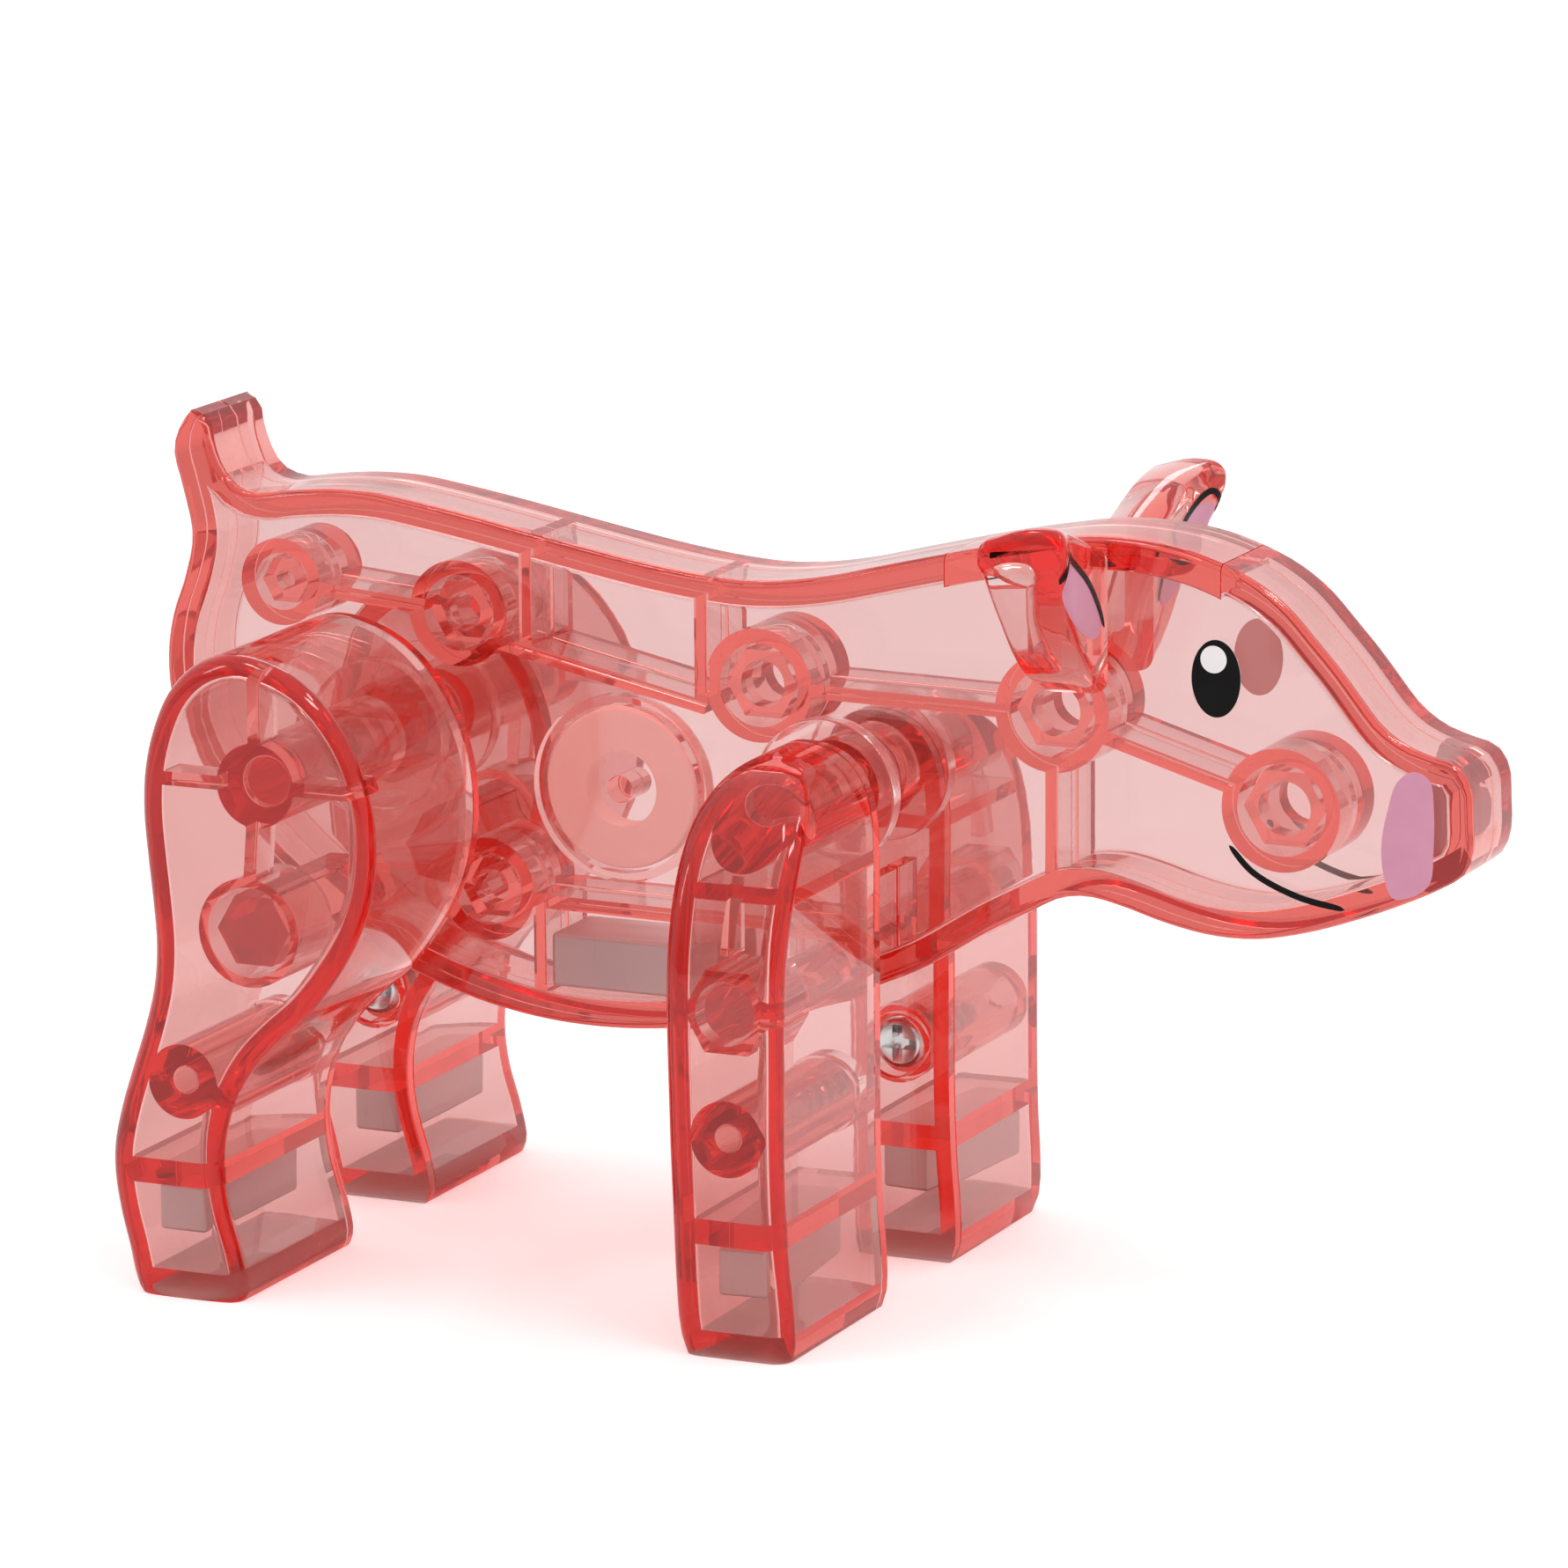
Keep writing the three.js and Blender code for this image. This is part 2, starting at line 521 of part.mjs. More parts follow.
const [magnetBack, magnetFront, magnetLow, magnetHigh] = bellyMagnetBox();
const magnetHalf = BELLY_MAGNET[1] / 2;
place("belly_magnet", block(magnetBack, magnetFront, -magnetHalf, magnetHalf, magnetLow, magnetHigh), MAGNET);

const spacerSeat = -(BODY_HALF_WIDTH - BODY_FACE) + PIN_PLAY;
const spacer = rod(SPACER_AT, SPACER_R, spacerSeat, spacerSeat + SPACER_THICK, RING_SIDES)
  .subtract(rod(SPACER_AT, SPACER_HOLE_R, spacerSeat - 1, spacerSeat + SPACER_THICK + 1));
place("belly_spacer", spacer, FROSTED);

place("hip_axle", rod(HIP, AXLE_R, -HIP_REACH, HIP_REACH), PINK);
place("shoulder_axle", rod(SHOULDER, AXLE_R, -SHOULDER_REACH, SHOULDER_REACH), PINK);

const washerMiddle = -(BODY_HALF_WIDTH + LEG_INNER) / 2;
for (const [row, leg] of Object.entries(LEGS)) {
  const shell = legShell(leg);
  const cover = legCover(leg);
  const fastener = screw(leg.screw);
  const magnet = footMagnet(leg);
  const washer = rod(leg.pivot, WASHER_R, washerMiddle - WASHER_THICK / 2, washerMiddle + WASHER_THICK / 2, RING_SIDES)
    .subtract(rod(leg.pivot, AXLE_R + AXLE_PLAY, -LEG_INNER - 1, 0));
  for (const side of ["right", "left"]) {
    const isLeft = side === "left";
    place(`${row}_${side}_leg_shell`, shell, PINK, isLeft);
    place(`${row}_${side}_leg_cover`, cover, PINK, isLeft);
    place(`${row}_${side}_screw`, fastener, STEEL, isLeft);
    place(`${row}_${side}_foot_magnet`, magnet, MAGNET, isLeft);
    place(`${row}_${side}_washer`, washer, FROSTED, isLeft);
  }
}

export default pig;
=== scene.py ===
# %% [markdown]
# # A clear toy pig, part by part
# The toy is a flat, hollow pig moulded in clear pink plastic. Two body halves close on locating posts, four
# hollow legs turn on two cross rods, and bar magnets sit loose in the belly and in the feet. Everything
# inside shows, so every rib, post and screw is made, not only the skin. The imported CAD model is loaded
# first: it is the frame that every piece here has to fit.

# %% Load the frame
import math

import bmesh
import bpy
import numpy as np
from mathutils import Matrix, Vector
from mathutils.bvhtree import BVHTree


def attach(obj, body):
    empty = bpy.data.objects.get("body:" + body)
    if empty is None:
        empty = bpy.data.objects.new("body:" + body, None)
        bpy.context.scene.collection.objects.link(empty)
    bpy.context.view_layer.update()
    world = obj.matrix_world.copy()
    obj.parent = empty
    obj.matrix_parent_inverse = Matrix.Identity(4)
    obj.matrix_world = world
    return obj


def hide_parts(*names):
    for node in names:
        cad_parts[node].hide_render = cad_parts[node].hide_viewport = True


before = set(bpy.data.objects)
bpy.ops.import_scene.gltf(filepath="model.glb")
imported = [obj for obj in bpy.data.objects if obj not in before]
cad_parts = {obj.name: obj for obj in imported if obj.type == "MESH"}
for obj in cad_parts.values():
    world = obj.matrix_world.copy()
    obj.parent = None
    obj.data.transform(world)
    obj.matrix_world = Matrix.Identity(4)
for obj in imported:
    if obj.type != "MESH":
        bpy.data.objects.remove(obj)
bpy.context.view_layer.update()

# %% [markdown]
# ## Camera
# A long lens far away keeps the sides of the toy nearly parallel. The camera looks from the pig's right,
# a little from the front and a little from above. Angles and a distance say this more plainly than a
# location would.

# %% Camera
MM = 0.001
AIM = (-6.0, 5.3, 41.4)
DISTANCE = 721.4
AZIMUTH, ELEVATION, ROLL = 24.37, 12.31, -0.41
LENS, SENSOR = 193.8, 36.0
NEAREST, FARTHEST = 0.01, 20  # metres


def direction(azimuth, elevation):
    """The way from the toy to a place at these angles. Azimuth 0 is the pig's right side, 90 its snout."""
    a, e = math.radians(azimuth), math.radians(elevation)
    return Vector((math.sin(a) * math.cos(e), -math.cos(a) * math.cos(e), math.sin(e)))


def placed(name, data):
    """A new object with this data, in the scene."""
    thing = bpy.data.objects.new(name, data)
    bpy.context.scene.collection.objects.link(thing)
    return thing


def aimed(name, data, angles, distance, roll=0.0):
    """A camera or a lamp that looks at the toy from these angles."""
    thing = placed(name, data)
    back = direction(*angles)
    thing.location = (Vector(AIM) + back * distance) * MM
    turn = (-back).to_track_quat("-Z", "Y").to_matrix()
    thing.rotation_euler = (turn @ Matrix.Rotation(math.radians(roll), 3, "Z")).to_euler()
    return thing


lens = bpy.data.cameras.new("camera")
lens.lens, lens.sensor_width = LENS, SENSOR
lens.clip_start, lens.clip_end = NEAREST, FARTHEST
camera = aimed("camera", lens, (AZIMUTH, ELEVATION), DISTANCE, ROLL)
bpy.context.scene.camera = camera
print("camera at", [round(v, 3) for v in camera.location])

# %% [markdown]
# ## Floor, light and sky
# Clear plastic shows its surroundings more than itself, so the surroundings are the first material. A white
# sky and a pale floor give the plastic something bright to pass on. Five softboxes draw the white streaks
# on the round edges, each from its own side, and the sky is darker on one side, which gives the walls their
# darker edges. The standard view transform keeps pinks as pink as they are mixed. Light bounces many times
# inside clear walls, and a ray that gives up too early leaves a black band, so the limits are high.

# %% Floor, light and sky
SOFTBOXES = {
    "key_softbox": {"from": (62, 58), "distance": 560, "size": (150, 70), "power": 0.42},
    "rear_softbox": {"from": (205, 42), "distance": 620, "size": (260, 90), "power": 0.3},
    "side_softbox": {"from": (-48, 30), "distance": 560, "size": (60, 200), "power": 0.2},
    "top_softbox": {"from": (-43, 70), "distance": 560, "size": (120, 50), "power": 0.22},
    "rim_softbox": {"from": (103, 64), "distance": 560, "size": (120, 50), "power": 0.2},
}


SKY_LEVEL, SKY_SHADED = 0.93, 0.42
SKY_TURN, SKY_RISE = (-0.95, -0.35), (0.15, 0.8)
FLOOR_HALF, FLOOR_WHITE, FLOOR_LIFT = 1.6, 0.9, 0.24
BOUNCES, DIFFUSE_BOUNCES, REFLECTION_BLUR = 28, 2, 0.6


def add_softbox(name, spec):
    light = bpy.data.lights.new(name, "AREA")
    light.shape = "RECTANGLE"
    light.size, light.size_y = (MM * s for s in spec["size"])
    light.energy = spec["power"]
    aimed(name, light, spec["from"], spec["distance"]).visible_camera = False


def add_node(tree, kind, inputs=None, **settings):
    """A node with its settings, and a value or another node's output for each input that is named."""
    node = tree.nodes.new(kind)
    for label, value in settings.items():
        setattr(node, label, value)
    for label, value in (inputs or {}).items():
        if isinstance(value, bpy.types.NodeSocket):
            tree.links.new(value, node.inputs[label])
        else:
            node.inputs[label].default_value = value
    return node


def math_node(tree, operation, a, b):
    return add_node(tree, "ShaderNodeMath", {0: a, 1: b}, operation=operation).outputs["Value"]


def add_sky():
    """A white sky, softer on one side. The camera itself sees it plain white."""
    world = bpy.data.worlds.new("studio")
    world.use_nodes = True
    tree = world.node_tree
    tree.nodes.clear()
    place = add_node(tree, "ShaderNodeTexCoord")
    split = add_node(tree, "ShaderNodeSeparateXYZ", {"Vector": place.outputs["Generated"]})
    side = add_node(tree, "ShaderNodeMapRange", {
        "Value": split.outputs["Y"], "From Min": SKY_TURN[0], "From Max": SKY_TURN[1],
        "To Min": SKY_SHADED, "To Max": SKY_LEVEL,
    }, interpolation_type="SMOOTHSTEP")
    high = add_node(tree, "ShaderNodeMapRange", {
        "Value": split.outputs["Z"], "From Min": SKY_RISE[0], "From Max": SKY_RISE[1],
    })
    blend = add_node(tree, "ShaderNodeMix", {
        "Factor": high.outputs["Result"], "A": side.outputs["Result"], "B": 1.0,
    })
    white = {"Color": (1, 1, 1, 1)}
    sky = add_node(tree, "ShaderNodeBackground", {**white, "Strength": blend.outputs["Result"]})
    plain = add_node(tree, "ShaderNodeBackground", {**white, "Strength": 1.0})
    rays = add_node(tree, "ShaderNodeLightPath")
    mix = add_node(tree, "ShaderNodeMixShader", {
        0: rays.outputs["Is Camera Ray"], 1: sky.outputs["Background"], 2: plain.outputs["Background"],
    })
    add_node(tree, "ShaderNodeOutputWorld", {"Surface": mix.outputs["Shader"]})
    bpy.context.scene.world = world


def add_floor():
    """A pale floor. Only the camera sees its small glow, so nothing is lit by it."""
    mesh = bpy.data.meshes.new("floor")
    corners = [(x * FLOOR_HALF, y * FLOOR_HALF, 0) for x, y in ((-1, -1), (1, -1), (1, 1), (-1, 1))]
    mesh.from_pydata(corners, [], [(0, 1, 2, 3)])
    paint = bpy.data.materials.new("pale_floor")
    paint.use_nodes = True
    tree = paint.node_tree
    shader = tree.nodes["Principled BSDF"]
    shader.inputs["Base Color"].default_value = (*[FLOOR_WHITE] * 3, 1)
    shader.inputs["Emission Color"].default_value = (1, 1, 1, 1)
    shader.inputs["Roughness"].default_value = 0.9
    shader.inputs["Specular IOR Level"].default_value = 0.1
    rays = add_node(tree, "ShaderNodeLightPath")
    lift = math_node(tree, "MULTIPLY", rays.outputs["Is Camera Ray"], FLOOR_LIFT)
    tree.links.new(lift, shader.inputs["Emission Strength"])
    mesh.materials.append(paint)
    placed("floor", mesh)


for name, spec in SOFTBOXES.items():
    add_softbox(name, spec)
add_sky()
add_floor()
scene = bpy.context.scene
scene.view_settings.view_transform = "Standard"
for kind in ("max", "transmission", "transparent_max", "glossy"):
    setattr(scene.cycles, kind + "_bounces", BOUNCES)
scene.cycles.diffuse_bounces = DIFFUSE_BOUNCES
scene.cycles.volume_bounces = 0
scene.cycles.blur_glossy = REFLECTION_BLUR
print("softboxes:", ", ".join(SOFTBOXES))

# %% [markdown]
# ## Shader group: handling marks
# A toy that has been picked up is never evenly glossy. This group mixes soft smears with fine hair
# scratches. It gives a roughness and a height, and each material chooses how strong they are. A group keeps
# the recipe in one place, so that every finish ages in the same way.

# %% Shader group: handling marks


def group_with(name, inputs, outputs):
    """An empty shader group with named sockets: (name, lowest, highest, default) for each input."""
    tree = bpy.data.node_groups.new(name, "ShaderNodeTree")
    for label, low, high, start in inputs:
        socket = tree.interface.new_socket(label, in_out="INPUT", socket_type="NodeSocketFloat")
        socket.min_value, socket.max_value, socket.default_value = low, high, start
    for label, kind in outputs:
        tree.interface.new_socket(label, in_out="OUTPUT", socket_type=kind)
    return tree, tree.nodes.new("NodeGroupInput"), tree.nodes.new("NodeGroupOutput")


def noise_node(tree, vector, scale, detail):
    return add_node(tree, "ShaderNodeTexNoise", {
        "Vector": vector, "Scale": scale, "Detail": detail,
    }).outputs["Fac"]


def build_handling_marks():
    tree, given, result = group_with(
        "handling_marks",
        [("Gloss", 0, 1, 0.03), ("Smears", 0, 1, 0.06), ("Scratches", 0, 1, 0.05)],
        [("Roughness", "NodeSocketFloat"), ("Height", "NodeSocketFloat")],
    )
    place = add_node(tree, "ShaderNodeTexCoord").outputs["Object"]
    stretch = add_node(tree, "ShaderNodeMapping", {
        "Vector": place, "Scale": (1.0, 1.0, 0.06), "Rotation": (0.3, 0.9, 0.2),
    })
    cloud = math_node(tree, "SUBTRACT", noise_node(tree, place, 90, 4), 0.5)
    smear = math_node(tree, "SMOOTH_MAX", cloud, 0)
    hair = math_node(tree, "GREATER_THAN", noise_node(tree, stretch.outputs["Vector"], 5200, 1), 0.74)
    smeared = math_node(tree, "MULTIPLY", smear, given.outputs["Smears"])
    scratched = math_node(tree, "MULTIPLY", hair, given.outputs["Scratches"])
    added = math_node(tree, "ADD", smeared, scratched)
    tree.links.new(math_node(tree, "ADD", added, given.outputs["Gloss"]), result.inputs["Roughness"])
    tree.links.new(math_node(tree, "SUBTRACT", 1.0, scratched), result.inputs["Height"])
    return tree


handling_marks = build_handling_marks()
print("group:", handling_marks.name, [s.name for s in handling_marks.interface.items_tree])

# %% [markdown]
# ## Shader group: moulding flow
# Plastic that was injected into a mould keeps faint waves where it flowed and shrank over the ribs. Seen in
# a reflection they bend a straight streak a little, which is what makes moulded plastic look moulded. The
# group gives a height for the Bump node and a tint mask.

# %% Shader group: moulding flow


def build_moulding_flow():
    tree, given, result = group_with(
        "moulding_flow",
        [("Wave", 0, 1, 0.6), ("Specks", 0, 1, 0.2)],
        [("Height", "NodeSocketFloat"), ("Mask", "NodeSocketFloat")],
    )
    place = add_node(tree, "ShaderNodeTexCoord").outputs["Object"]
    slow = noise_node(tree, place, 70, 1)
    fine = noise_node(tree, place, 420, 2)
    wave = math_node(tree, "MULTIPLY", slow, given.outputs["Wave"])
    speck = math_node(tree, "MULTIPLY", fine, given.outputs["Specks"])
    tree.links.new(math_node(tree, "ADD", wave, speck), result.inputs["Height"])
    tree.links.new(slow, result.inputs["Mask"])
    return tree


moulding_flow = build_moulding_flow()
print("group:", moulding_flow.name)

# %% [markdown]
# ## Clear pink plastic
# The pink isn't painted on: it is in the plastic, and it deepens with the length that light travels through
# it. So the surface is clear glass-like plastic, and a Volume Absorption does the colouring. A wall of 1 mm
# seen face on is pale pink, and the same wall seen along its length is coral red. Shadow rays see a tinted
# transparent surface instead, so that the floor and the inside are lit without a noisy caustic. Real pink
# plastic also scatters a little light inside, which keeps its darkest edges coral and not black. A very
# faint glow on each surface does that cheaply: light that is trapped in a wall meets it many times.

# %% Clear pink plastic


def moulded(name, tint, marks, flow, relief, plain, mask="Mask"):
    """A material: the shader's own plain values, handling marks, and a tint and a relief from the flow."""
    material = bpy.data.materials.new(name)
    material.use_nodes = True
    tree = material.node_tree
    shader = tree.nodes["Principled BSDF"]
    for label, value in plain.items():
        shader.inputs[label].default_value = value
    worn = add_node(tree, "ShaderNodeGroup", dict(zip(("Gloss", "Smears", "Scratches"), marks)),
                    node_tree=handling_marks)
    flowed = add_node(tree, "ShaderNodeGroup", dict(zip(("Wave", "Specks"), flow)),
                      node_tree=moulding_flow)
    low, high = ((*shade, 1) for shade in tint)
    colour = add_node(tree, "ShaderNodeMix", {"Factor": flowed.outputs[mask], "A": low, "B": high},
                      data_type="RGBA")
    bump = add_node(tree, "ShaderNodeBump", {"Distance": relief, "Strength": 1.0,
                                             "Height": flowed.outputs["Height"]})
    tree.links.new(colour.outputs["Result"], shader.inputs["Base Color"])
    tree.links.new(worn.outputs["Roughness"], shader.inputs["Roughness"])
    tree.links.new(bump.outputs["Normal"], shader.inputs["Normal"])
    return material


def moulded_clear(name, tint, marks, flow, relief, ior, clear, glow):
    """A plastic that passes light and glows a little: painted light, an emission from a surface that is no
    lamp.
    """
    material = moulded(name, tint, marks, flow, relief, {
        "IOR": ior, "Transmission Weight": clear, "Emission Color": (*glow, 1), "Emission Strength": 1.0,
    })
    material.cycles.emission_sampling = "NONE"
    return material


def clear_plastic(name, tint, gloss, glow, absorb, density, shadow):
    material = moulded_clear(name, tint, (gloss, 0.05, 0.04), (1.0, 0.04), 0.0001, 1.49, 1.0, glow)
    tree = material.node_tree
    output = tree.nodes["Material Output"]
    shade = add_node(tree, "ShaderNodeBsdfTransparent", {"Color": (*shadow, 1)})
    rays = add_node(tree, "ShaderNodeLightPath")
    mix = add_node(tree, "ShaderNodeMixShader", {
        0: rays.outputs["Is Shadow Ray"], 1: tree.nodes["Principled BSDF"].outputs["BSDF"],
        2: shade.outputs["BSDF"],
    })
    volume = add_node(tree, "ShaderNodeVolumeAbsorption", {"Color": (*absorb, 1), "Density": density})
    tree.links.new(mix.outputs["Shader"], output.inputs["Surface"])
    tree.links.new(volume.outputs["Volume"], output.inputs["Volume"])
    return material


SKIN_TINT = (0.85, 0.875, 0.89), (0.885, 0.905, 0.915)
SKIN_GLOW = (0.016, 0.0034, 0.0024)
PINK_KEPT, PINK_DENSITY, PINK_SHADOW = (0.951, 0.093, 0.0), 205, (0.97, 0.92, 0.92)
CLEAR_PINK = clear_plastic(
    "clear_pink_plastic", SKIN_TINT, 0.015, SKIN_GLOW, PINK_KEPT, PINK_DENSITY, PINK_SHADOW,
)
print("material:", CLEAR_PINK.name)

# %% [markdown]
# ## Frosted plastic, magnets, steel and ink
# The belly ring is a milky plastic, so light spreads inside it: only a part of the light passes, and its
# surface is rough. The washers are the same kind of plastic, nearly clear. Both carry a painted glow, an
# emission that is no lamp, which lifts the shade that falls on the ring inside the body. The magnets have a
# dull nickel skin with a fine grain. The screws are bright zinc steel. The printed eye, smile, snout and ear
# patches are a slightly glossy ink, and a pale primer lies under the eye, because ink on clear plastic is
# seen from behind too.

# %% Frosted plastic, magnets, steel and ink


def frosted_plastic(name, tint, clear, gloss, glow):
    return moulded_clear(name, tint, (gloss, 0.2, 0.1), (0.5, 0.5), 0.00008, 1.46, clear, glow)


def plated_metal(name, tint, gloss, grain):
    return moulded(name, tint, (gloss, 0.3, 0.25), (0.2, 1.0), grain, {"Metallic": 1.0})


def printed_ink(name, tint, shine=0.4):
    plain = {"Specular IOR Level": shine}
    return moulded(name, tint, (0.3, 0.25, 0.2), (0.1, 1.0), 0.00003, plain, "Height")


MILKY, NEARLY_CLEAR = ((0.94, 0.72, 0.69), (0.97, 0.80, 0.77)), ((0.96, 0.86, 0.85), (0.98, 0.90, 0.89))
# The frosted glow is painted light that brightens the shaded ring. The washers' glow is the same, only
# fainter.
FROSTED = frosted_plastic("frosted_plastic", MILKY, 0.35, 0.42, (0.16, 0.09, 0.08))
WASHER_PLASTIC = frosted_plastic("washer_plastic", NEARLY_CLEAR, 1.0, 0.05, (0.01, 0.003, 0.003))
MAGNET = plated_metal("dull_nickel", ((0.50, 0.47, 0.47), (0.66, 0.63, 0.62)), 0.42, 0.00006)
STEEL = plated_metal("zinc_steel", ((0.60, 0.60, 0.61), (0.74, 0.73, 0.72)), 0.2, 0.00002)
INK_BLACK = printed_ink("black_ink", ((0.002, 0.002, 0.002), (0.006, 0.005, 0.005)), 0.12)
INK_PRIMER = printed_ink("primer_ink", ((0.88, 0.92, 0.95), (0.93, 0.96, 0.98)))
INK_WHITE = printed_ink("white_ink", ((0.86, 0.84, 0.84), (0.94, 0.92, 0.92)))
INK_MAUVE = printed_ink("mauve_ink", ((0.60, 0.25, 0.36), (0.68, 0.30, 0.42)))

# %% [markdown]
# ## Outlines
# The whole toy is drawn as side views. A few listed points give each outline, and a closed
# Catmull-Rom curve makes it smooth. All sizes from here on are millimetres, and a mesh is brought to metres
# when it is made.

# %% Outlines
BODY_OUTLINE = [
    (-57.0, 72.2), (-58.3, 70.8), (-59.0, 68.6), (-58.2, 65.2), (-57.4, 61.2), (-58.2, 57.5),
    (-59.4, 54.2), (-60.0, 50.5), (-59.6, 46.0), (-57.9, 41.6), (-55.0, 37.3), (-51.2, 33.3),
    (-46.6, 29.6), (-41.5, 26.5), (-36.0, 24.1), (-30.0, 22.3), (-24.0, 21.3), (-18.0, 21.1),
    (-12.0, 21.6), (-6.0, 22.8), (0.0, 24.5), (6.0, 26.7), (11.5, 29.2), (17.3, 32.8),
    (21.2, 34.9), (23.5, 36.1), (26.0, 36.5), (29.0, 36.0), (33.0, 34.9), (37.0, 34.2),
    (41.0, 34.2), (45.0, 35.0), (49.0, 36.3), (53.5, 38.1), (57.2, 39.9), (59.2, 41.3),
    (59.92, 43.2), (59.92, 46.0), (59.7, 48.6), (58.6, 50.2), (56.2, 50.9), (54.0, 51.7),
    (52.0, 53.1), (50.2, 55.2), (48.5, 57.3), (46.3, 59.7), (43.9, 62.2), (41.2, 64.1),
    (38.0, 65.5), (34.5, 66.5), (30.0, 67.0), (25.5, 66.9), (21.0, 66.2), (16.5, 65.3),
    (11.0, 64.0), (7.0, 63.0), (3.0, 62.0), (-1.0, 61.3), (-5.0, 61.0), (-9.0, 61.2),
    (-14.0, 61.8), (-20.0, 62.8), (-25.5, 63.8), (-31.0, 64.8), (-36.0, 65.6), (-40.0, 66.1),
    (-44.0, 66.1), (-48.0, 65.7), (-51.0, 65.3), (-53.2, 66.0), (-54.4, 67.6), (-55.1, 69.6),
    (-55.5, 71.4),
]
REAR_OUTLINE = [
    (-43.9, -0.8), (-42.3, -0.3), (-41.6, 1.2), (-42.1, 4.2), (-43.2, 8.0), (-43.6, 11.0),
    (-43.4, 14.4), (-42.4, 17.6), (-40.6, 20.5), (-38.2, 23.0), (-35.5, 25.4), (-32.7, 28.9),
    (-30.5, 32.6), (-29.2, 36.4), (-28.8, 40.2), (-29.1, 44.0), (-30.3, 47.8), (-32.4, 51.2),
    (-35.2, 53.9), (-38.6, 55.5), (-42.0, 56.0), (-45.3, 54.9), (-47.8, 52.5), (-49.4, 49.2),
    (-50.3, 45.6), (-50.5, 42.0), (-50.2, 38.0), (-49.8, 34.0), (-49.6, 30.5), (-49.9, 27.0),
    (-50.8, 23.5), (-52.0, 20.0), (-53.2, 16.4), (-54.0, 13.0), (-54.1, 10.4), (-53.6, 7.0),
    (-52.8, 3.8), (-52.3, 1.5), (-51.6, -0.1), (-50.2, -0.8),
]
FRONT_OUTLINE = [
    (6.8, -0.8), (8.2, -0.3), (8.9, 1.4), (8.9, 5.0), (8.6, 9.0), (8.4, 15.0), (8.4, 24.0),
    (8.4, 33.0), (8.4, 40.0), (8.1, 43.4), (7.2, 45.8), (5.6, 47.5), (3.4, 48.3), (0.8, 48.3),
    (-0.9, 47.3), (-2.0, 45.0), (-2.3, 41.5), (-2.2, 35.0), (-2.1, 28.0), (-1.9, 20.0),
    (-1.7, 12.0), (-1.6, 5.0), (-1.4, 1.6), (-1.0, -0.1), (0.3, -0.8),
]


def catmull_rom(points, closed, per_span=12):
    """A centripetal Catmull-Rom curve through the points, sampled finely."""
    p = np.array(points, float)
    if not closed:
        p = np.vstack([2 * p[0] - p[1], p, 2 * p[-1] - p[-2]])
    count = len(p) if closed else len(p) - 3
    t = np.linspace(0, 1, per_span, endpoint=False)[:, None]
    out = []
    for i in range(count):
        a, b, c, d = (p[(i - 1 + k) % len(p)] if closed else p[i + k] for k in range(4))
        ab, bc, cd = (math.sqrt(np.linalg.norm(v - u)) for u, v in ((a, b), (b, c), (c, d)))
        leave = ((b - a) / ab - (c - a) / (ab + bc) + (c - b) / bc) * bc
        arrive = ((c - b) / bc - (d - b) / (bc + cd) + (d - c) / cd) * bc
        out.append(
            b + leave * t + (3 * (c - b) - 2 * leave - arrive) * t**2
            + (2 * (b - c) + leave + arrive) * t**3
        )
    return np.vstack(out + ([] if closed else [p[-2:-1]]))


def evenly(points, count, closed=True):
    """The same line with points at equal steps along it."""
    ring = np.vstack([points, points[:1]]) if closed else points
    along = np.concatenate([[0], np.cumsum(np.linalg.norm(np.diff(ring, axis=0), axis=1))])
    stops = np.linspace(0, along[-1], count, endpoint=not closed)
    return np.stack([np.interp(stops, along, ring[:, k]) for k in range(2)], axis=1)


def smooth_outline(points, count):
    return evenly(catmull_rom(points, True), count)


body_outline = smooth_outline(BODY_OUTLINE, 260)
rear_outline = smooth_outline(REAR_OUTLINE, 180)
front_outline = smooth_outline(FRONT_OUTLINE, 180)
print("body outline, mm:", np.round(body_outline.min(0), 1), np.round(body_outline.max(0), 1))

# %% [markdown]
# ## Moving an outline inwards
# A wall is the outline and the same outline moved inwards. In a narrow place, such as the tail, there isn't
# room, and points that came too close are left out. That leaves the tail solid, as it is on the real toy.
# For a rounded edge each point stays in the list, and is only held back where there is no room.

# %% Moving an outline inwards


def distances_to(outline, points):
    a, b = outline, np.roll(outline, -1, axis=0)
    d = b - a
    offset = points[:, None, :] - a[None]
    share = np.clip((offset * d).sum(2) / (d * d).sum(1), 0, 1)
    return np.linalg.norm(offset - share[..., None] * d, axis=2).min(1)


def inward_normals(outline):
    along = np.roll(outline, -1, axis=0) - np.roll(outline, 1, axis=0)
    along /= np.linalg.norm(along, axis=1)[:, None]
    return np.stack([-along[:, 1], along[:, 0]], axis=1)


def inset(outline, wall, count=None):
    """The outline moved inwards by a wall, without the points that have no room."""
    moved = outline + inward_normals(outline) * wall
    kept = moved[distances_to(outline, moved) > 0.97 * wall]
    return evenly(kept, count or len(outline))


def held_back(outline, most):
    """How far each point can move inwards, up to a given step."""
    normals = inward_normals(outline)
    room = np.zeros(len(outline))
    for step in np.linspace(0, most, 9)[1:]:
        free = distances_to(outline, outline + normals * step) > 0.9 * step
        room = np.where(free & (room > step - most / 7), step, room)
    return np.minimum(room, most)


body_cavity = inset(body_outline, 2.2)
print("cavity outline:", len(body_cavity), "points")

# %% [markdown]
# ## Solids from outlines
# Most pieces are a side view pushed through a depth, with soft edges. A stack of rings does that with full
# control: each ring is the outline, moved a little inwards near the ends, and a cap closes each end. Rods
# are the same with a circle.

# %% Solids from outlines


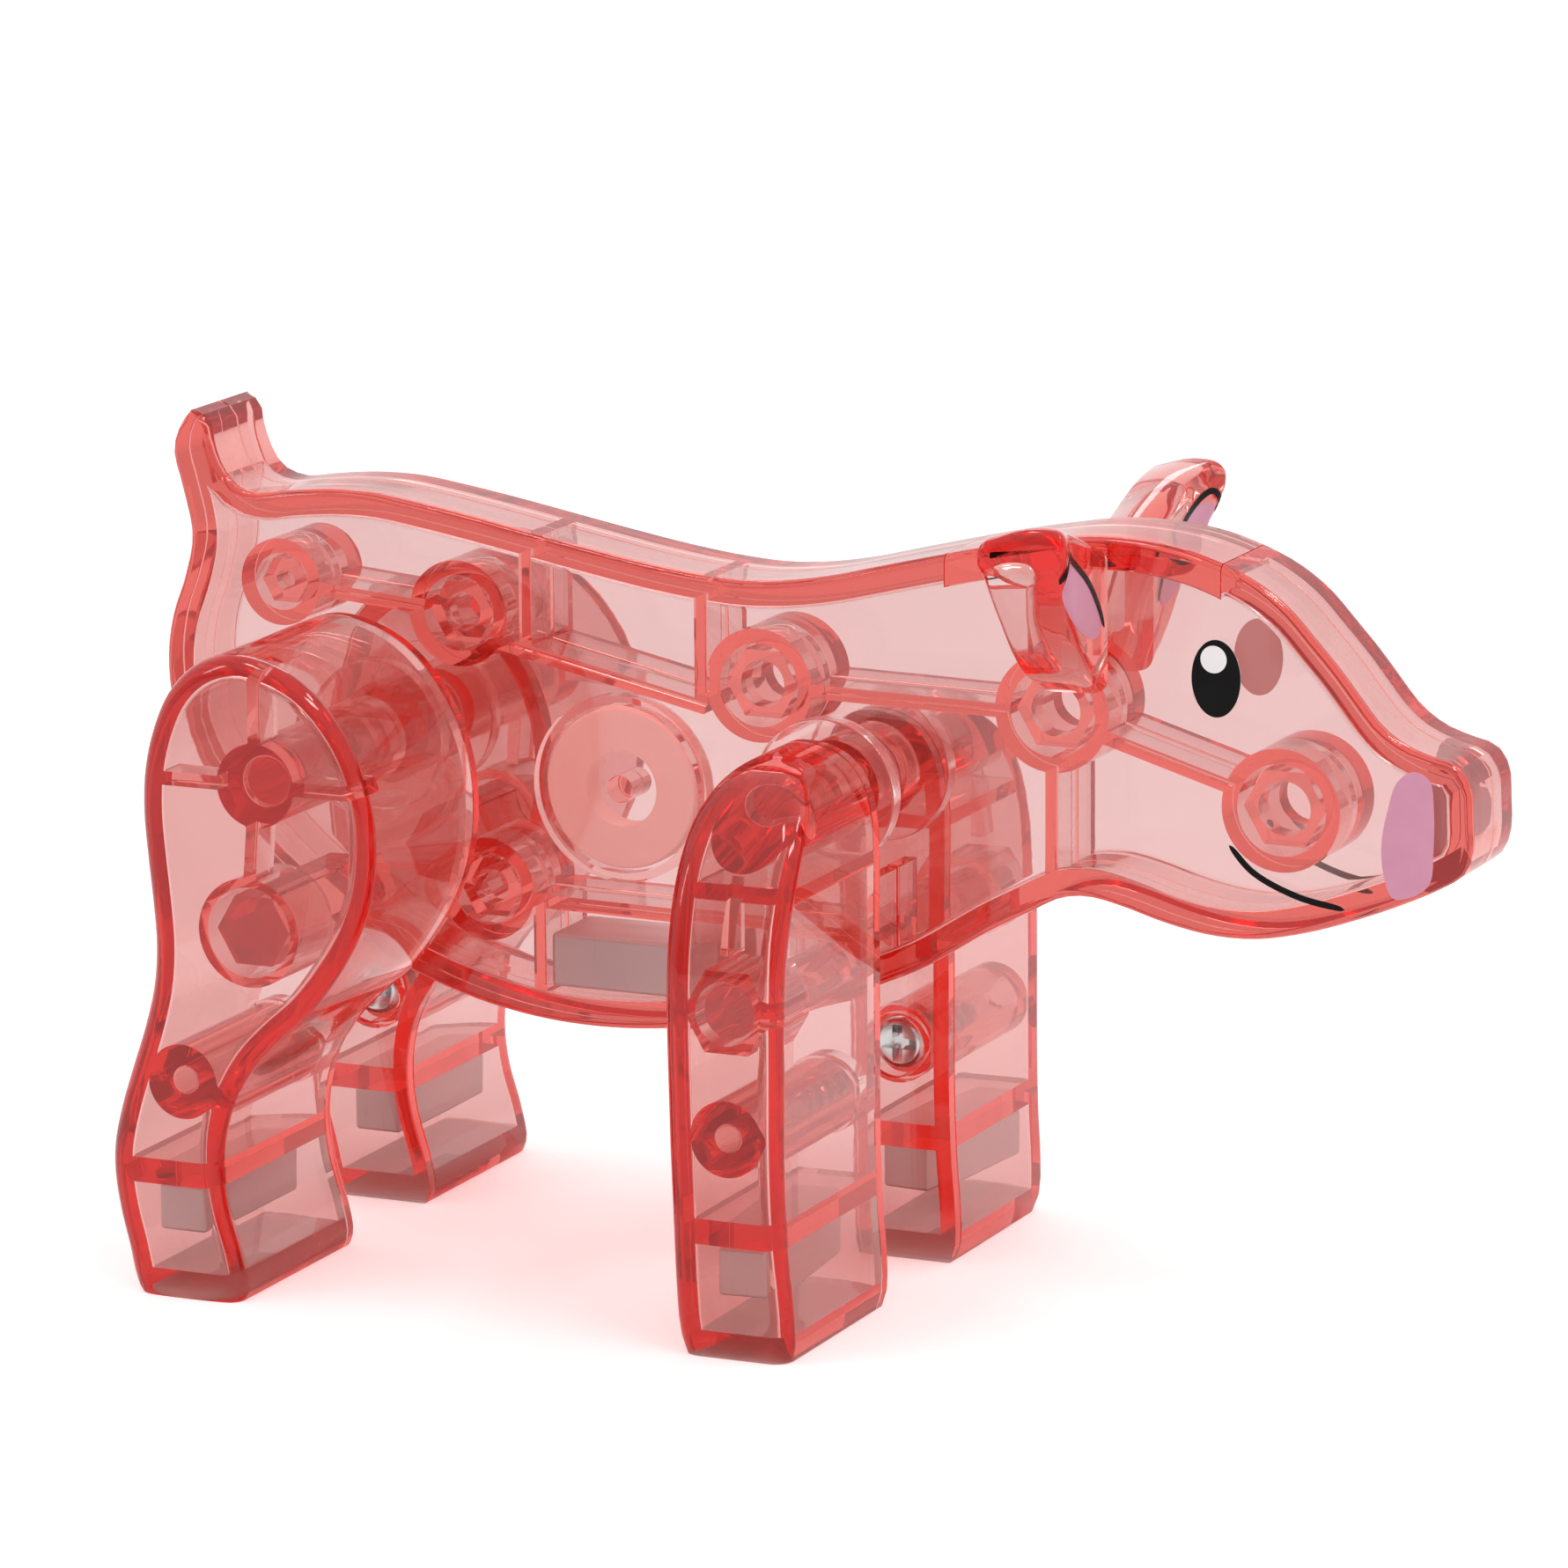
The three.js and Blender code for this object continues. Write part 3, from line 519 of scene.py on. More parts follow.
def mesh_piece(name, points, faces):
    """A closed mesh with its faces pointing out, from millimetres."""
    mesh = bpy.data.meshes.new(name)
    mesh.from_pydata([Vector(p) * MM for p in points], [], faces)
    shape = bmesh.new()
    shape.from_mesh(mesh)
    bmesh.ops.remove_doubles(shape, verts=shape.verts, dist=2e-7)
    bmesh.ops.dissolve_degenerate(shape, edges=shape.edges, dist=2e-7)
    bmesh.ops.recalc_face_normals(shape, faces=shape.faces)
    shape.to_mesh(mesh)
    shape.free()
    return placed(name, mesh)


def ring_stack(name, rings):
    """A solid skinned over rings that all have the same number of points."""
    count = len(rings[0])
    points = np.vstack(rings)
    faces = [tuple(range(count)), tuple(reversed(range(len(points) - count, len(points))))]
    for low in range(0, len(points) - count, count):
        for i in range(count):
            j = (i + 1) % count
            faces.append((low + i, low + j, low + count + j, low + count + i))
    return mesh_piece(name, points, faces)


def edge_profile(edge, steps):
    """(inwards, along) for each ring of a quarter round."""
    if edge <= 0:
        return [(0.0, 0.0)]
    turns = [math.pi / 2 * k / steps for k in range(steps + 1)]
    return [(edge * (1 - math.sin(a)), edge * (1 - math.cos(a))) for a in turns]


def plate(name, outline, y0, y1, edge0=0.0, edge1=0.0, steps=5):
    """An outline in X and Z pushed from y0 to y1, with round edges at either end."""
    outline = np.asarray(outline, float)
    normals = inward_normals(outline)
    room = held_back(outline, max(edge0, edge1)) if max(edge0, edge1) > 0 else 0
    rings = []
    ends = [(inward, y0 + along) for inward, along in edge_profile(edge0, steps)]
    ends += [(inward, y1 - along) for inward, along in reversed(edge_profile(edge1, steps))]
    for inward, y in ends:
        flat = outline + normals * np.minimum(inward, room)[..., None] if inward > 0 else outline
        rings.append(np.stack([flat[:, 0], np.full(len(flat), y), flat[:, 1]], axis=1))
    return ring_stack(name, rings)


def circle(at, radius, sides=48, turn=0.0):
    a = np.linspace(0, 2 * np.pi, sides, endpoint=False) + math.radians(turn)
    return np.stack([at[0] + radius * np.cos(a), at[1] + radius * np.sin(a)], axis=1)


def rod(name, at, radius, y0, y1, edge=0.0, sides=48, turn=0.0):
    return plate(name, circle(at, radius, sides, turn), y0, y1, edge, edge, 3)


def soften(piece, edge, steps=3):
    """Rounds every edge of a blocky piece."""
    shape = bmesh.new()
    shape.from_mesh(piece.data)
    bmesh.ops.bevel(
        shape, geom=shape.edges[:], offset=edge * MM, offset_type="OFFSET", segments=steps,
        profile=0.5, affect="EDGES", clamp_overlap=True,
    )
    shape.to_mesh(piece.data)
    shape.free()
    return piece


def block(name, low, high, edge=0.0):
    (x0, y0, z0), (x1, y1, z1) = low, high
    outline = [(x0, z0), (x1, z0), (x1, z1), (x0, z1)]
    piece = plate(name, outline, y0, y1)
    return soften(piece, edge) if edge > 0 else piece


def rib(name, line, thickness, y0, y1, edge=0.0):
    """A straight rib between two points in X and Z."""
    ax, az, bx, bz = line
    length = math.hypot(bx - ax, bz - az)
    nx, nz = -(bz - az) / length * thickness / 2, (bx - ax) / length * thickness / 2
    outline = [(ax - nx, az - nz), (bx - nx, bz - nz), (bx + nx, bz + nz), (ax + nx, az + nz)]
    piece = plate(name, outline, y0, y1)
    return soften(piece, edge) if edge > 0 else piece


# %% [markdown]
# ## Adding and cutting
# The Boolean modifier joins and cuts closed solids, as a toolmaker adds to or cuts a mould. A list of steps
# is put on the base as modifiers, the result is read once, and the helpers are thrown away.

# %% Adding and cutting


def add(piece):
    return "UNION", piece


def cut(piece):
    return "DIFFERENCE", piece


def within(piece):
    return "INTERSECT", piece


def combined(base, steps):
    """The base with every step applied in order: add(piece), cut(piece) or within(piece)."""
    for operation, tool in steps:
        modifier = base.modifiers.new(tool.name, "BOOLEAN")
        modifier.operation, modifier.solver, modifier.object = operation, "MANIFOLD", tool
    graph = bpy.context.evaluated_depsgraph_get()
    mesh = bpy.data.meshes.new_from_object(base.evaluated_get(graph))
    base.modifiers.clear()
    base.data = mesh
    for tool in {tool for _, tool in steps}:
        bpy.data.objects.remove(tool)
    return base


def cleaned(piece):
    """Tiny slivers and loose edges that a boolean leaves are taken away."""
    shape = bmesh.new()
    shape.from_mesh(piece.data)
    bmesh.ops.remove_doubles(shape, verts=shape.verts, dist=1e-6)
    bmesh.ops.dissolve_degenerate(shape, edges=shape.edges, dist=1e-6)
    loose = [edge for edge in shape.edges if not edge.link_faces]
    bmesh.ops.delete(shape, geom=loose, context="EDGES")
    shape.to_mesh(piece.data)
    shape.free()
    return piece


def open_edges(piece):
    shape = bmesh.new()
    shape.from_mesh(piece.data)
    count = sum(not e.is_manifold for e in shape.edges)
    shape.free()
    return count


# %% [markdown]
# ## Finishing a piece
# Every piece ends the same way: smooth shading with sharp corners kept sharp, normals weighted by face area
# so that flat windows stay optically flat, one material, and the body that it rides on.

# %% Finishing a piece
SHARP = math.radians(32)


def finished(piece, name, material, body, *nodes):
    cleaned(piece)
    piece.name = piece.data.name = name
    piece.data.materials.clear()
    piece.data.materials.append(material)
    piece.data.polygons.foreach_set("material_index", [0] * len(piece.data.polygons))
    piece.data.shade_smooth()
    piece.data.set_sharp_from_angle(angle=SHARP)
    weigh = piece.modifiers.new("flat windows", "WEIGHTED_NORMAL")
    weigh.keep_sharp = True
    graph = bpy.context.evaluated_depsgraph_get()
    mesh = bpy.data.meshes.new_from_object(piece.evaluated_get(graph))
    piece.modifiers.clear()
    piece.data = mesh
    if nodes:
        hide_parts(*nodes)
    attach(piece, body)
    print(f"{name}: {len(mesh.polygons)} faces, {open_edges(piece)} open edges")
    return piece


def mirror_copy(piece):
    """The same piece for the pig's other side."""
    mesh = piece.data.copy()
    mesh.transform(Matrix.Diagonal((1, -1, 1, 1)))
    mesh.flip_normals()
    return placed(piece.name + "_mirrored", mesh)


# %% [markdown]
# ## Sizes
# The driving sizes of the toy, in millimetres. Everything that fits into something else is worked out from
# them.

# %% Sizes
BODY_HALF_WIDTH, BODY_EDGE, BODY_RIM, BODY_FACE = 5.2, 0.7, 2.2, 1.2
PARTING_GAP, RIB_THICK, RIB_SHORT = 0.2, 1.2, 0.15
WASHER_THICK, WASHER_PLAY = 1.75, 0.175
LEG_INNER = BODY_HALF_WIDTH + WASHER_THICK + 2 * WASHER_PLAY
LEG_DEPTH, LEG_EDGE, LEG_CORNER = 21.0, 1.7, 1.6
LEG_WALL, LEG_FACE, COVER, COVER_GAP, LEG_RIB, SPOKE_DEPTH = 1.8, 1.4, 1.1, 0.2, 1.2, 3.2
SOLE, SHELF, SHELF_Z = 2.2, 2.2, 9.6
HIP, SHOULDER = (-39.7, 45.0), (3.2, 43.8)
AXLE_R, AXLE_END, AXLE_PLAY = 2.1, 0.5, 0.15
HIP_REACH, SHOULDER_REACH = LEG_INNER + 15.8, LEG_INNER + 9.3
HUB_R, AXLE_BOSS_R, WASHER_R = AXLE_R + AXLE_PLAY + 1.35, AXLE_R + AXLE_PLAY + 1.95, AXLE_R + 4.3
HEAD_R, SHANK_R, SCREW_LENGTH, SCREW_PLAY, CUP_PLAY = 2.3, 1.05, 9.0, 0.2, 0.54
CUP_DEPTH, CUP_FLOOR, CUP_WALL, SCREW_BOSS_R = 2.2, 1.0, 0.6, HEAD_R + 0.95
FOOT_MAGNET, BELLY_MAGNET = (4.4, 14.5, 4.1), (15.0, 7.4, 4.7)
MAGNET_PLAY, MAGNET_SETBACK = 0.3, 3.6
PIN_PLAY, PIN_LENGTH, SOCKET_WALL, PIN_CORE = 0.3, 3.0, 1.3, 2.9
SADDLE_BACK, SADDLE_FRONT, SADDLE_THICK, SADDLE_SEAM = 13.5, 38.0, 2.6, 0.08
SPACER_AT, SPACER_R, SPACER_HOLE_R, SPACER_THICK = (-16.9, 42.0), 7.0, 3.3, 2.6
SPACER_PEG_R, SPACER_FENCE = 1.2, 0.8
POSTS = [
    (-49.0, 57.6, 3.8), (-32.0, 56.1, 4.6), (-3.9, 52.0, 4.9),
    (22.8, 51.8, 5.1), (43.1, 45.2, 5.2), (-29.6, 32.2, 4.5),
]
RIBS = [
    (-46.0, 57.3, -35.5, 56.4), (-25.6, 53.3, -25.6, 62.5), (-28.5, 53.9, -8.8, 49.7),
    (-9.2, 49.9, -9.2, 60.4), (0.0, 51.9, 19.0, 51.6), (26.8, 50.3, 39.4, 46.6),
    (22.8, 47.8, 22.8, 36.6), (-26.0, 31.6, 6.5, 31.2), (-24.6, 22.8, -24.6, 31.6),
    (-3.3, 24.5, -3.3, 31.2), (6.5, 28.0, 6.5, 36.5),
]
INNER_FACE = -(BODY_HALF_WIDTH - BODY_FACE)
SEAM = -PARTING_GAP / 2
ROOT = INNER_FACE - BODY_FACE / 2
print("body", 2 * BODY_HALF_WIDTH, "mm thick, legs reach", LEG_INNER + LEG_DEPTH, "mm out")

# %% [markdown]
# ## Locating posts, by Geometry Nodes
# Six posts hold the halves in line: round tubes in one half, six-sided pins in the other. They differ only
# in place and radius, so one node tree makes them all: a cylinder on each point of a small point cloud,
# scaled by the radius that the point carries. The same tree, with other inputs, makes the tubes, the holes
# in them and the pins.

# %% Locating posts, by Geometry Nodes


def geometry_tree(name, inputs):
    tree = bpy.data.node_groups.new(name, "GeometryNodeTree")
    tree.interface.new_socket("Geometry", in_out="INPUT", socket_type="NodeSocketGeometry")
    for label, kind, value in inputs:
        socket = tree.interface.new_socket(label, in_out="INPUT", socket_type=kind)
        if value is not None:
            socket.default_value = value
    tree.interface.new_socket("Geometry", in_out="OUTPUT", socket_type="NodeSocketGeometry")
    return tree, tree.nodes.new("NodeGroupInput"), tree.nodes.new("NodeGroupOutput")


def ended(tree, given, result, shape):
    """The end of every tree: real geometry instead of instances, and a material."""
    real = add_node(tree, "GeometryNodeRealizeInstances", {"Geometry": shape})
    paint = add_node(tree, "GeometryNodeSetMaterial", {
        "Geometry": real.outputs["Geometry"], "Material": given.outputs["Material"],
    })
    tree.links.new(paint.outputs["Geometry"], result.inputs["Geometry"])
    return tree


def build_post_tree():
    tree, given, result = geometry_tree("posts_on_points", [
        ("Sides", "NodeSocketInt", 48), ("Start", "NodeSocketFloat", 0.0), ("End", "NodeSocketFloat", 1.0),
        ("Thinner by", "NodeSocketFloat", 0.0), ("Material", "NodeSocketMaterial", None),
    ])

    def calc(operation, a, b):
        return math_node(tree, operation, a, b)

    radius = add_node(tree, "GeometryNodeInputNamedAttribute", {"Name": "radius_mm"}, data_type="FLOAT")
    thin = calc("MULTIPLY", calc("SUBTRACT", radius.outputs["Attribute"], given.outputs["Thinner by"]), MM)
    long = calc("MULTIPLY", calc("SUBTRACT", given.outputs["End"], given.outputs["Start"]), MM)
    size = add_node(tree, "ShaderNodeCombineXYZ", {"X": thin, "Y": thin, "Z": long})
    middle = calc("MULTIPLY", calc("ADD", given.outputs["End"], given.outputs["Start"]), MM / 2)
    shift = add_node(tree, "ShaderNodeCombineXYZ", {"Y": middle})
    moved = add_node(tree, "GeometryNodeSetPosition", {
        "Geometry": given.outputs["Geometry"], "Offset": shift.outputs["Vector"],
    })
    unit = add_node(tree, "GeometryNodeMeshCylinder", {
        "Vertices": given.outputs["Sides"], "Radius": 1.0, "Depth": 1.0,
    })
    spread = add_node(tree, "GeometryNodeInstanceOnPoints", {
        "Points": moved.outputs["Geometry"], "Instance": unit.outputs["Mesh"],
        "Rotation": (math.pi / 2, 0, 0), "Scale": size.outputs["Vector"],
    })
    return ended(tree, given, result, spread.outputs["Instances"])


def made_by(tree, name, mesh, values):
    """A plain mesh object from a mesh, a tree and its named inputs."""
    piece = placed(name, mesh)
    modifier = piece.modifiers.new(tree.name, "NODES")
    modifier.node_group = tree
    sockets = {s.name: s.identifier for s in tree.interface.items_tree if s.in_out == "INPUT"}
    for label, value in values.items():
        modifier[sockets[label]] = value
    graph = bpy.context.evaluated_depsgraph_get()
    result = bpy.data.meshes.new_from_object(piece.evaluated_get(graph))
    piece.modifiers.clear()
    piece.data = result
    return piece


def posts(name, y0, y1, thinner=0.0, sides=48):
    cloud = bpy.data.meshes.new(name + "_points")
    cloud.from_pydata([(x * MM, 0, z * MM) for x, z, _ in POSTS], [], [])
    radius = cloud.attributes.new("radius_mm", "FLOAT", "POINT")
    radius.data.foreach_set("value", [r for _, _, r in POSTS])
    return made_by(post_tree, name, cloud, {
        "Sides": sides, "Start": y0, "End": y1, "Thinner by": thinner, "Material": CLEAR_PINK,
    })


post_tree = build_post_tree()
print("tree:", post_tree.name, "for", len(POSTS), "posts")

# %% [markdown]
# ## Body halves
# Each half is a shallow tray: a face, a rim that follows the outline, ribs, posts and the tubes around the
# axles. The right half has the sockets and the peg for the belly ring, the left half has the pins. Both are
# made on the pig's right side, and the left one is then mirrored, as two halves of one mould would be.

# %% Body halves


def belly_magnet_box():
    back = RIBS[8][0] + RIB_THICK / 2 + MAGNET_PLAY
    bottom = 21.6 + BODY_RIM + MAGNET_PLAY
    return back, back + BELLY_MAGNET[0], bottom, bottom + BELLY_MAGNET[2]


def saddle_strip(name, gap):
    """The strip on top of the head that the ear piece fills, grown by a gap."""
    reach = BODY_HALF_WIDTH + 1
    strip = block(name, (SADDLE_BACK - gap, -reach, 55), (SADDLE_FRONT + gap, reach, 75))
    under = plate("under", inset(body_outline, SADDLE_THICK + gap), -reach - 1, reach + 1)
    return combined(strip, [cut(under)])


def body_half(name, has_pins):
    half = plate(name, body_outline, -BODY_HALF_WIDTH, SEAM, BODY_EDGE, 0.06)
    x0, x1, z0, z1 = belly_magnet_box()
    steps = [cut(plate("cavity", body_cavity, INNER_FACE, 1, 0.35, 0, 3))]
    steps += [add(rib("rib", line, RIB_THICK, ROOT, SEAM - RIB_SHORT, 0.12)) for line in RIBS]
    steps += [add(posts("posts", ROOT, SEAM))]
    steps += [add(rod("boss", pivot, AXLE_BOSS_R, ROOT, SEAM)) for pivot in (HIP, SHOULDER)]
    steps += [cut(block(
        "magnet_room", (x0 - MAGNET_PLAY, INNER_FACE, z0 - MAGNET_PLAY), (x1 + MAGNET_PLAY, 1, z1 + 0.1),
    ))]
    if has_pins:
        steps += [
            add(posts("pins", SEAM - 0.5, PIN_LENGTH, SOCKET_WALL + PIN_PLAY, 6)),
            cut(posts("cores", INNER_FACE + 0.4, PIN_LENGTH + 1, PIN_CORE, 32)),
        ]
    else:
        room = SPACER_R + PIN_PLAY
        fence = rod("fence", SPACER_AT, room + SPACER_FENCE, ROOT, INNER_FACE + 1.6, 0, 72)
        steps += [
            cut(posts("sockets", INNER_FACE + 0.3, 1, SOCKET_WALL)),
            add(combined(fence, [cut(rod("hollow", SPACER_AT, room, INNER_FACE, INNER_FACE + 2, 0, 72))])),
            add(rod("peg", SPACER_AT, SPACER_PEG_R, ROOT, SEAM, 0.15, 32)),
        ]
    bore = AXLE_R + AXLE_PLAY
    steps += [cut(rod("bore", pivot, bore, -BODY_HALF_WIDTH - 1, 1)) for pivot in (HIP, SHOULDER)]
    return combined(half, [*steps, cut(saddle_strip("saddle_cut", SADDLE_SEAM))])


right_half = body_half("right_half", False)
left_blank = body_half("left_blank", True)
left_half = mirror_copy(left_blank)
bpy.data.objects.remove(left_blank)
finished(right_half, "body_half_right_clear", CLEAR_PINK, "torso", "body_half_right")
finished(left_half, "body_half_left_clear", CLEAR_PINK, "torso", "body_half_left")

# %% [markdown]
# ## Ear piece
# Both ears and the strip over the head are one moulding. Each ear leans out and up from the side of the
# head, flat in front and hollow behind. It is a loft: a few cross sections say where its back and front
# edges lie at each distance from the head, curves join them, and every section has round corners. A smaller
# copy of the same loft hollows it from behind.

# %% Ear piece
EAR_ROOT, EAR_SPAN, EAR_BACK, EAR_CORNER = BODY_HALF_WIDTH + 0.3, 13.5, 22.0, 1.5
EAR_SECTIONS = [  # share of the span, then Z of the back edge, X of the front face and Z of its edge
    (0.0, 53.8, 64.5, 28.2, 54.0, 66.0), (0.3, 55.8, 66.1, 28.1, 56.4, 67.5),
    (0.66, 61.0, 67.9, 28.3, 61.3, 69.1), (0.88, 64.8, 68.5, 29.2, 65.2, 69.7),
    (1.0, 66.6, 68.6, 29.7, 67.0, 69.8),
]
EAR_TIP = [(0.0, 0.0), (0.4, 0.12), (0.75, 0.45), (0.92, 0.85), (1.0, 1.3)]
HOLLOW_AT, HOLLOW_SCALE, HOLLOW_BACK = (25.2, 62.0), (0.72, 0.66, 0.64), 2.2


def rounded_polygon(corners, radius, steps=7):
    """A polygon with a curve in place of each corner."""
    corners = np.array(corners, float)
    out = []
    for before, corner, after in zip(np.roll(corners, 1, axis=0), corners, np.roll(corners, -1, axis=0)):
        sides = [(end - corner) / np.linalg.norm(end - corner) for end in (before, after)]
        reach = min(radius, *(0.45 * np.linalg.norm(end - corner) for end in (before, after)))
        start, stop = (corner + side * reach for side in sides)
        for t in np.linspace(0, 1, steps):
            out.append((1 - t) ** 2 * start + 2 * t * (1 - t) * corner + t**2 * stop)
    return np.array(out)


def ear_ring(share, shrink=0.0):
    """One closed section of an ear, at a share of its span. The outer end slants a little."""
    curve = catmull_rom(EAR_SECTIONS, False)
    back_low, back_high, front, front_low, front_high = (
        np.interp(share, curve[:, 0], curve[:, k]) for k in range(1, 6)
    )
    face = front - shrink * 0.3
    corners = [
        (EAR_BACK + shrink, back_low + shrink), (face, front_low + shrink), (face, front_high - shrink),
        ((EAR_BACK + front) / 2 + 0.6, front_high + 0.15 - shrink), (EAR_BACK + shrink, back_high - shrink),
    ]
    flat = rounded_polygon(corners, EAR_CORNER)
    slant = 0.08 * share * (flat[:, 0] - EAR_BACK) / (front - EAR_BACK)
    return np.stack([flat[:, 0], -(EAR_ROOT + EAR_SPAN * (share - slant)), flat[:, 1]], axis=1)


def ear_rings():
    tip = 0.05
    rings = [ear_ring(share) for share in np.linspace(0, 1 - tip, 22)[:-1]]
    return rings + [ear_ring(1 - tip + tip * along, shrink) for along, shrink in EAR_TIP]


def ear():
    rings = ear_rings()
    middle = np.array([HOLLOW_AT[0], -(EAR_ROOT + EAR_SPAN * 0.4), HOLLOW_AT[1]])
    inner = [middle + (ring - middle) * HOLLOW_SCALE - (HOLLOW_BACK, 0, 0) for ring in rings]
    link = block("link", (23.2, -EAR_ROOT - 0.5, 64.6), (27.6, -BODY_HALF_WIDTH + 1, 65.9))
    return combined(
        ring_stack("ear", rings), [cut(ring_stack("hollow", inner)), add(link)],
    )


def ear_piece():
    strip = plate("strip", body_outline, -BODY_HALF_WIDTH, BODY_HALF_WIDTH, BODY_EDGE, BODY_EDGE)
    right = ear()
    left = mirror_copy(right)
    return combined(strip, [within(saddle_strip("saddle", 0.0)), add(right), add(left)])


ears = finished(ear_piece(), "ear_piece_clear", CLEAR_PINK, "torso", "ear_piece")

# %% [markdown]
# ## Belly magnet, belly ring and axles
# The belly magnet is a bar with ground edges. The frosted ring sits on its peg. The axles are clear rods
# with a small round at each end, which is why their ends shine as dots in the legs.

# %% Belly magnet, belly ring and axles
x0, x1, z0, z1 = belly_magnet_box()
half_magnet = BELLY_MAGNET[1] / 2
belly_bar = block("bar", (x0, -half_magnet, z0), (x1, half_magnet, z1), 0.35)
finished(belly_bar, "belly_magnet_bar", MAGNET, "torso", "belly_magnet")


def ring(name, at, outer, inner, y0, y1, edge):
    base = rod(name, at, outer, y0, y1, edge, 96)
    bore = rod("bore", at, inner, y0 - 1, y1 + 1, 0, 64)
    return combined(base, [cut(bore)])


spacer_seat = INNER_FACE + PIN_PLAY
belly_ring = ring("ring", SPACER_AT, SPACER_R, SPACER_HOLE_R, spacer_seat, spacer_seat + SPACER_THICK, 0.3)
finished(belly_ring, "belly_spacer_frosted", FROSTED, "torso", "belly_spacer")
for name, pivot, reach in (("hip_axle", HIP, HIP_REACH), ("shoulder_axle", SHOULDER, SHOULDER_REACH)):
    axle = rod(name + "_rod", pivot, AXLE_R, -reach, reach, 0.25, 64)
    finished(axle, name + "_clear", CLEAR_PINK, "torso", name)

# %% [markdown]
# ## Leg blanks
# A rear leg is its side view with a generously rounded outer lip. A front leg is different: its shoulder
# is a dome, and its two outer upright corners are round. It is built from the ground up, as a stack of
# rounded
# rectangles: the side view gives each one its length, and the view from the front its depth.

# %% Leg blanks
SHOULDER_VIEW = [
    (18.8, -1.0), (19.7, -0.1), (20.2, 1.8), (20.7, 8.0), (21.0, 16.0), (21.0, 24.0), (20.9, 29.5),
    (20.5, 34.0), (19.3, 38.0), (17.2, 41.8), (14.1, 45.0), (10.6, 47.2), (6.6, 48.4),
]
DOME_FROM, SLOPE_FROM = 38, 34
LEG_OUTER = -(LEG_INNER + LEG_DEPTH)
COVER_END = -(LEG_INNER + COVER)
SHELL_END = COVER_END - COVER_GAP
FACE_IN = LEG_OUTER + LEG_FACE
SOCKET_DEPTH = 6.4


def spans(outline, heights):
    """Where an outline starts and ends in X at each height."""
    ends = []
    a, b = outline, np.roll(outline, -1, axis=0)
    for z in heights:
        cuts = (a[:, 1] - z) * (b[:, 1] - z) < 0
        share = (z - a[cuts, 1]) / (b[cuts, 1] - a[cuts, 1])
        xs = a[cuts, 0] + share * (b[cuts, 0] - a[cuts, 0])
        ends.append((xs.min(), xs.max()))
    return np.array(ends)


def rounded_box_ring(x0, x1, y_out, y_in, z, corner, steps=7):
    """A rectangle at one height with its two outer corners rounded."""
    r = min(corner, 0.49 * (x1 - x0), 0.49 * (y_in - y_out))
    turns = [math.pi / 2 * k / steps for k in range(steps + 1)]
    left = [(x0 + r - r * math.cos(a), y_out + r - r * math.sin(a), z) for a in turns]
    right = [(x1 - r + r * math.sin(a), y_out + r - r * math.cos(a), z) for a in turns]
    return np.array([(x0, y_in, z), *left, *right, (x1, y_in, z)])


def shoulder_stack(name, wall, y_in, corner, bottom):
    """The front leg, or its cavity: everything moved in by a wall."""
    top = front_outline[:, 1].max() - wall - 0.02
    straight = np.linspace(bottom, DOME_FROM, 26)
    dome = DOME_FROM + (top - DOME_FROM) * np.sin(np.linspace(0, math.pi / 2, 34))[1:]
    heights = np.concatenate([straight, dome])
    side = inset(front_outline, wall, 180) if wall > 0 else front_outline
    view = catmull_rom(SHOULDER_VIEW, False)
    order = np.argsort(view[:, 1])
    rings = []
    for z, (xa, xb) in zip(heights, spans(side, heights)):
        above = max(0, z - SLOPE_FROM)
        lifted = z + wall * above / 14
        out = np.interp(lifted, view[order, 1], view[order, 0]) - wall * (1 - above / 30)
        rings.append(rounded_box_ring(xa, xb, -(LEG_INNER + out), y_in, z, corner))
    return ring_stack(name, rings)


def below(name, y0, y1, top=0.0):
    """All the room under a rear leg up to a height, to cut it level."""
    return block(name, (-70, y0, -3), (-20, y1, top))


def leg_blank(name, row, y_in):
    if row == "front":
        return shoulder_stack(name, 0.0, y_in, LEG_CORNER, 0.0)
    blank = plate(name, rear_outline, LEG_OUTER, y_in, LEG_EDGE, 0.0, 8)
    return combined(blank, [cut(below("ground", LEG_OUTER - 1, 2))])


# %% [markdown]
# ## Leg shells and leg covers
# A shell is the blank with its inside taken out, and then everything that the mould adds inside: the hub
# around the axle, spokes, a socket, the screw's tube and the shelf over the foot chamber. The cover is a
# plate on the inner side. It carries the cup for the screw head and the pin that goes into the socket.

# %% Leg shells and leg covers
LEGS = {
    "rear": {
        "pivot": HIP, "reach": HIP_REACH, "outline": rear_outline, "screw": (-47.2, 18.8),
        "socket": {"at": (-40.6, 32.3), "outer": 4.7, "inner": 3.9, "sides": 48, "pin": 3.4, "pin_sides": 6},
        "spokes": [(-39.7, 55.0), (-50.0, 45.0), (-29.4, 45.0), (-40.4, 36.6)],
        "shelf": (-54.0, -43.2), "magnet": (-48.3, 0), "partition": None,
    },
    "front": {
        "pivot": SHOULDER, "reach": SHOULDER_REACH, "outline": front_outline, "screw": (3.25, 18.8),
        "socket": {"at": (3.3, 29.4), "outer": 3.9, "inner": 2.7, "sides": 6, "pin": 2.3, "pin_sides": 48},
        "spokes": [(3.2, 34.0)], "shelf": (-1.6, 8.0), "magnet": (3.55, 5), "partition": 38.2,
    },
}


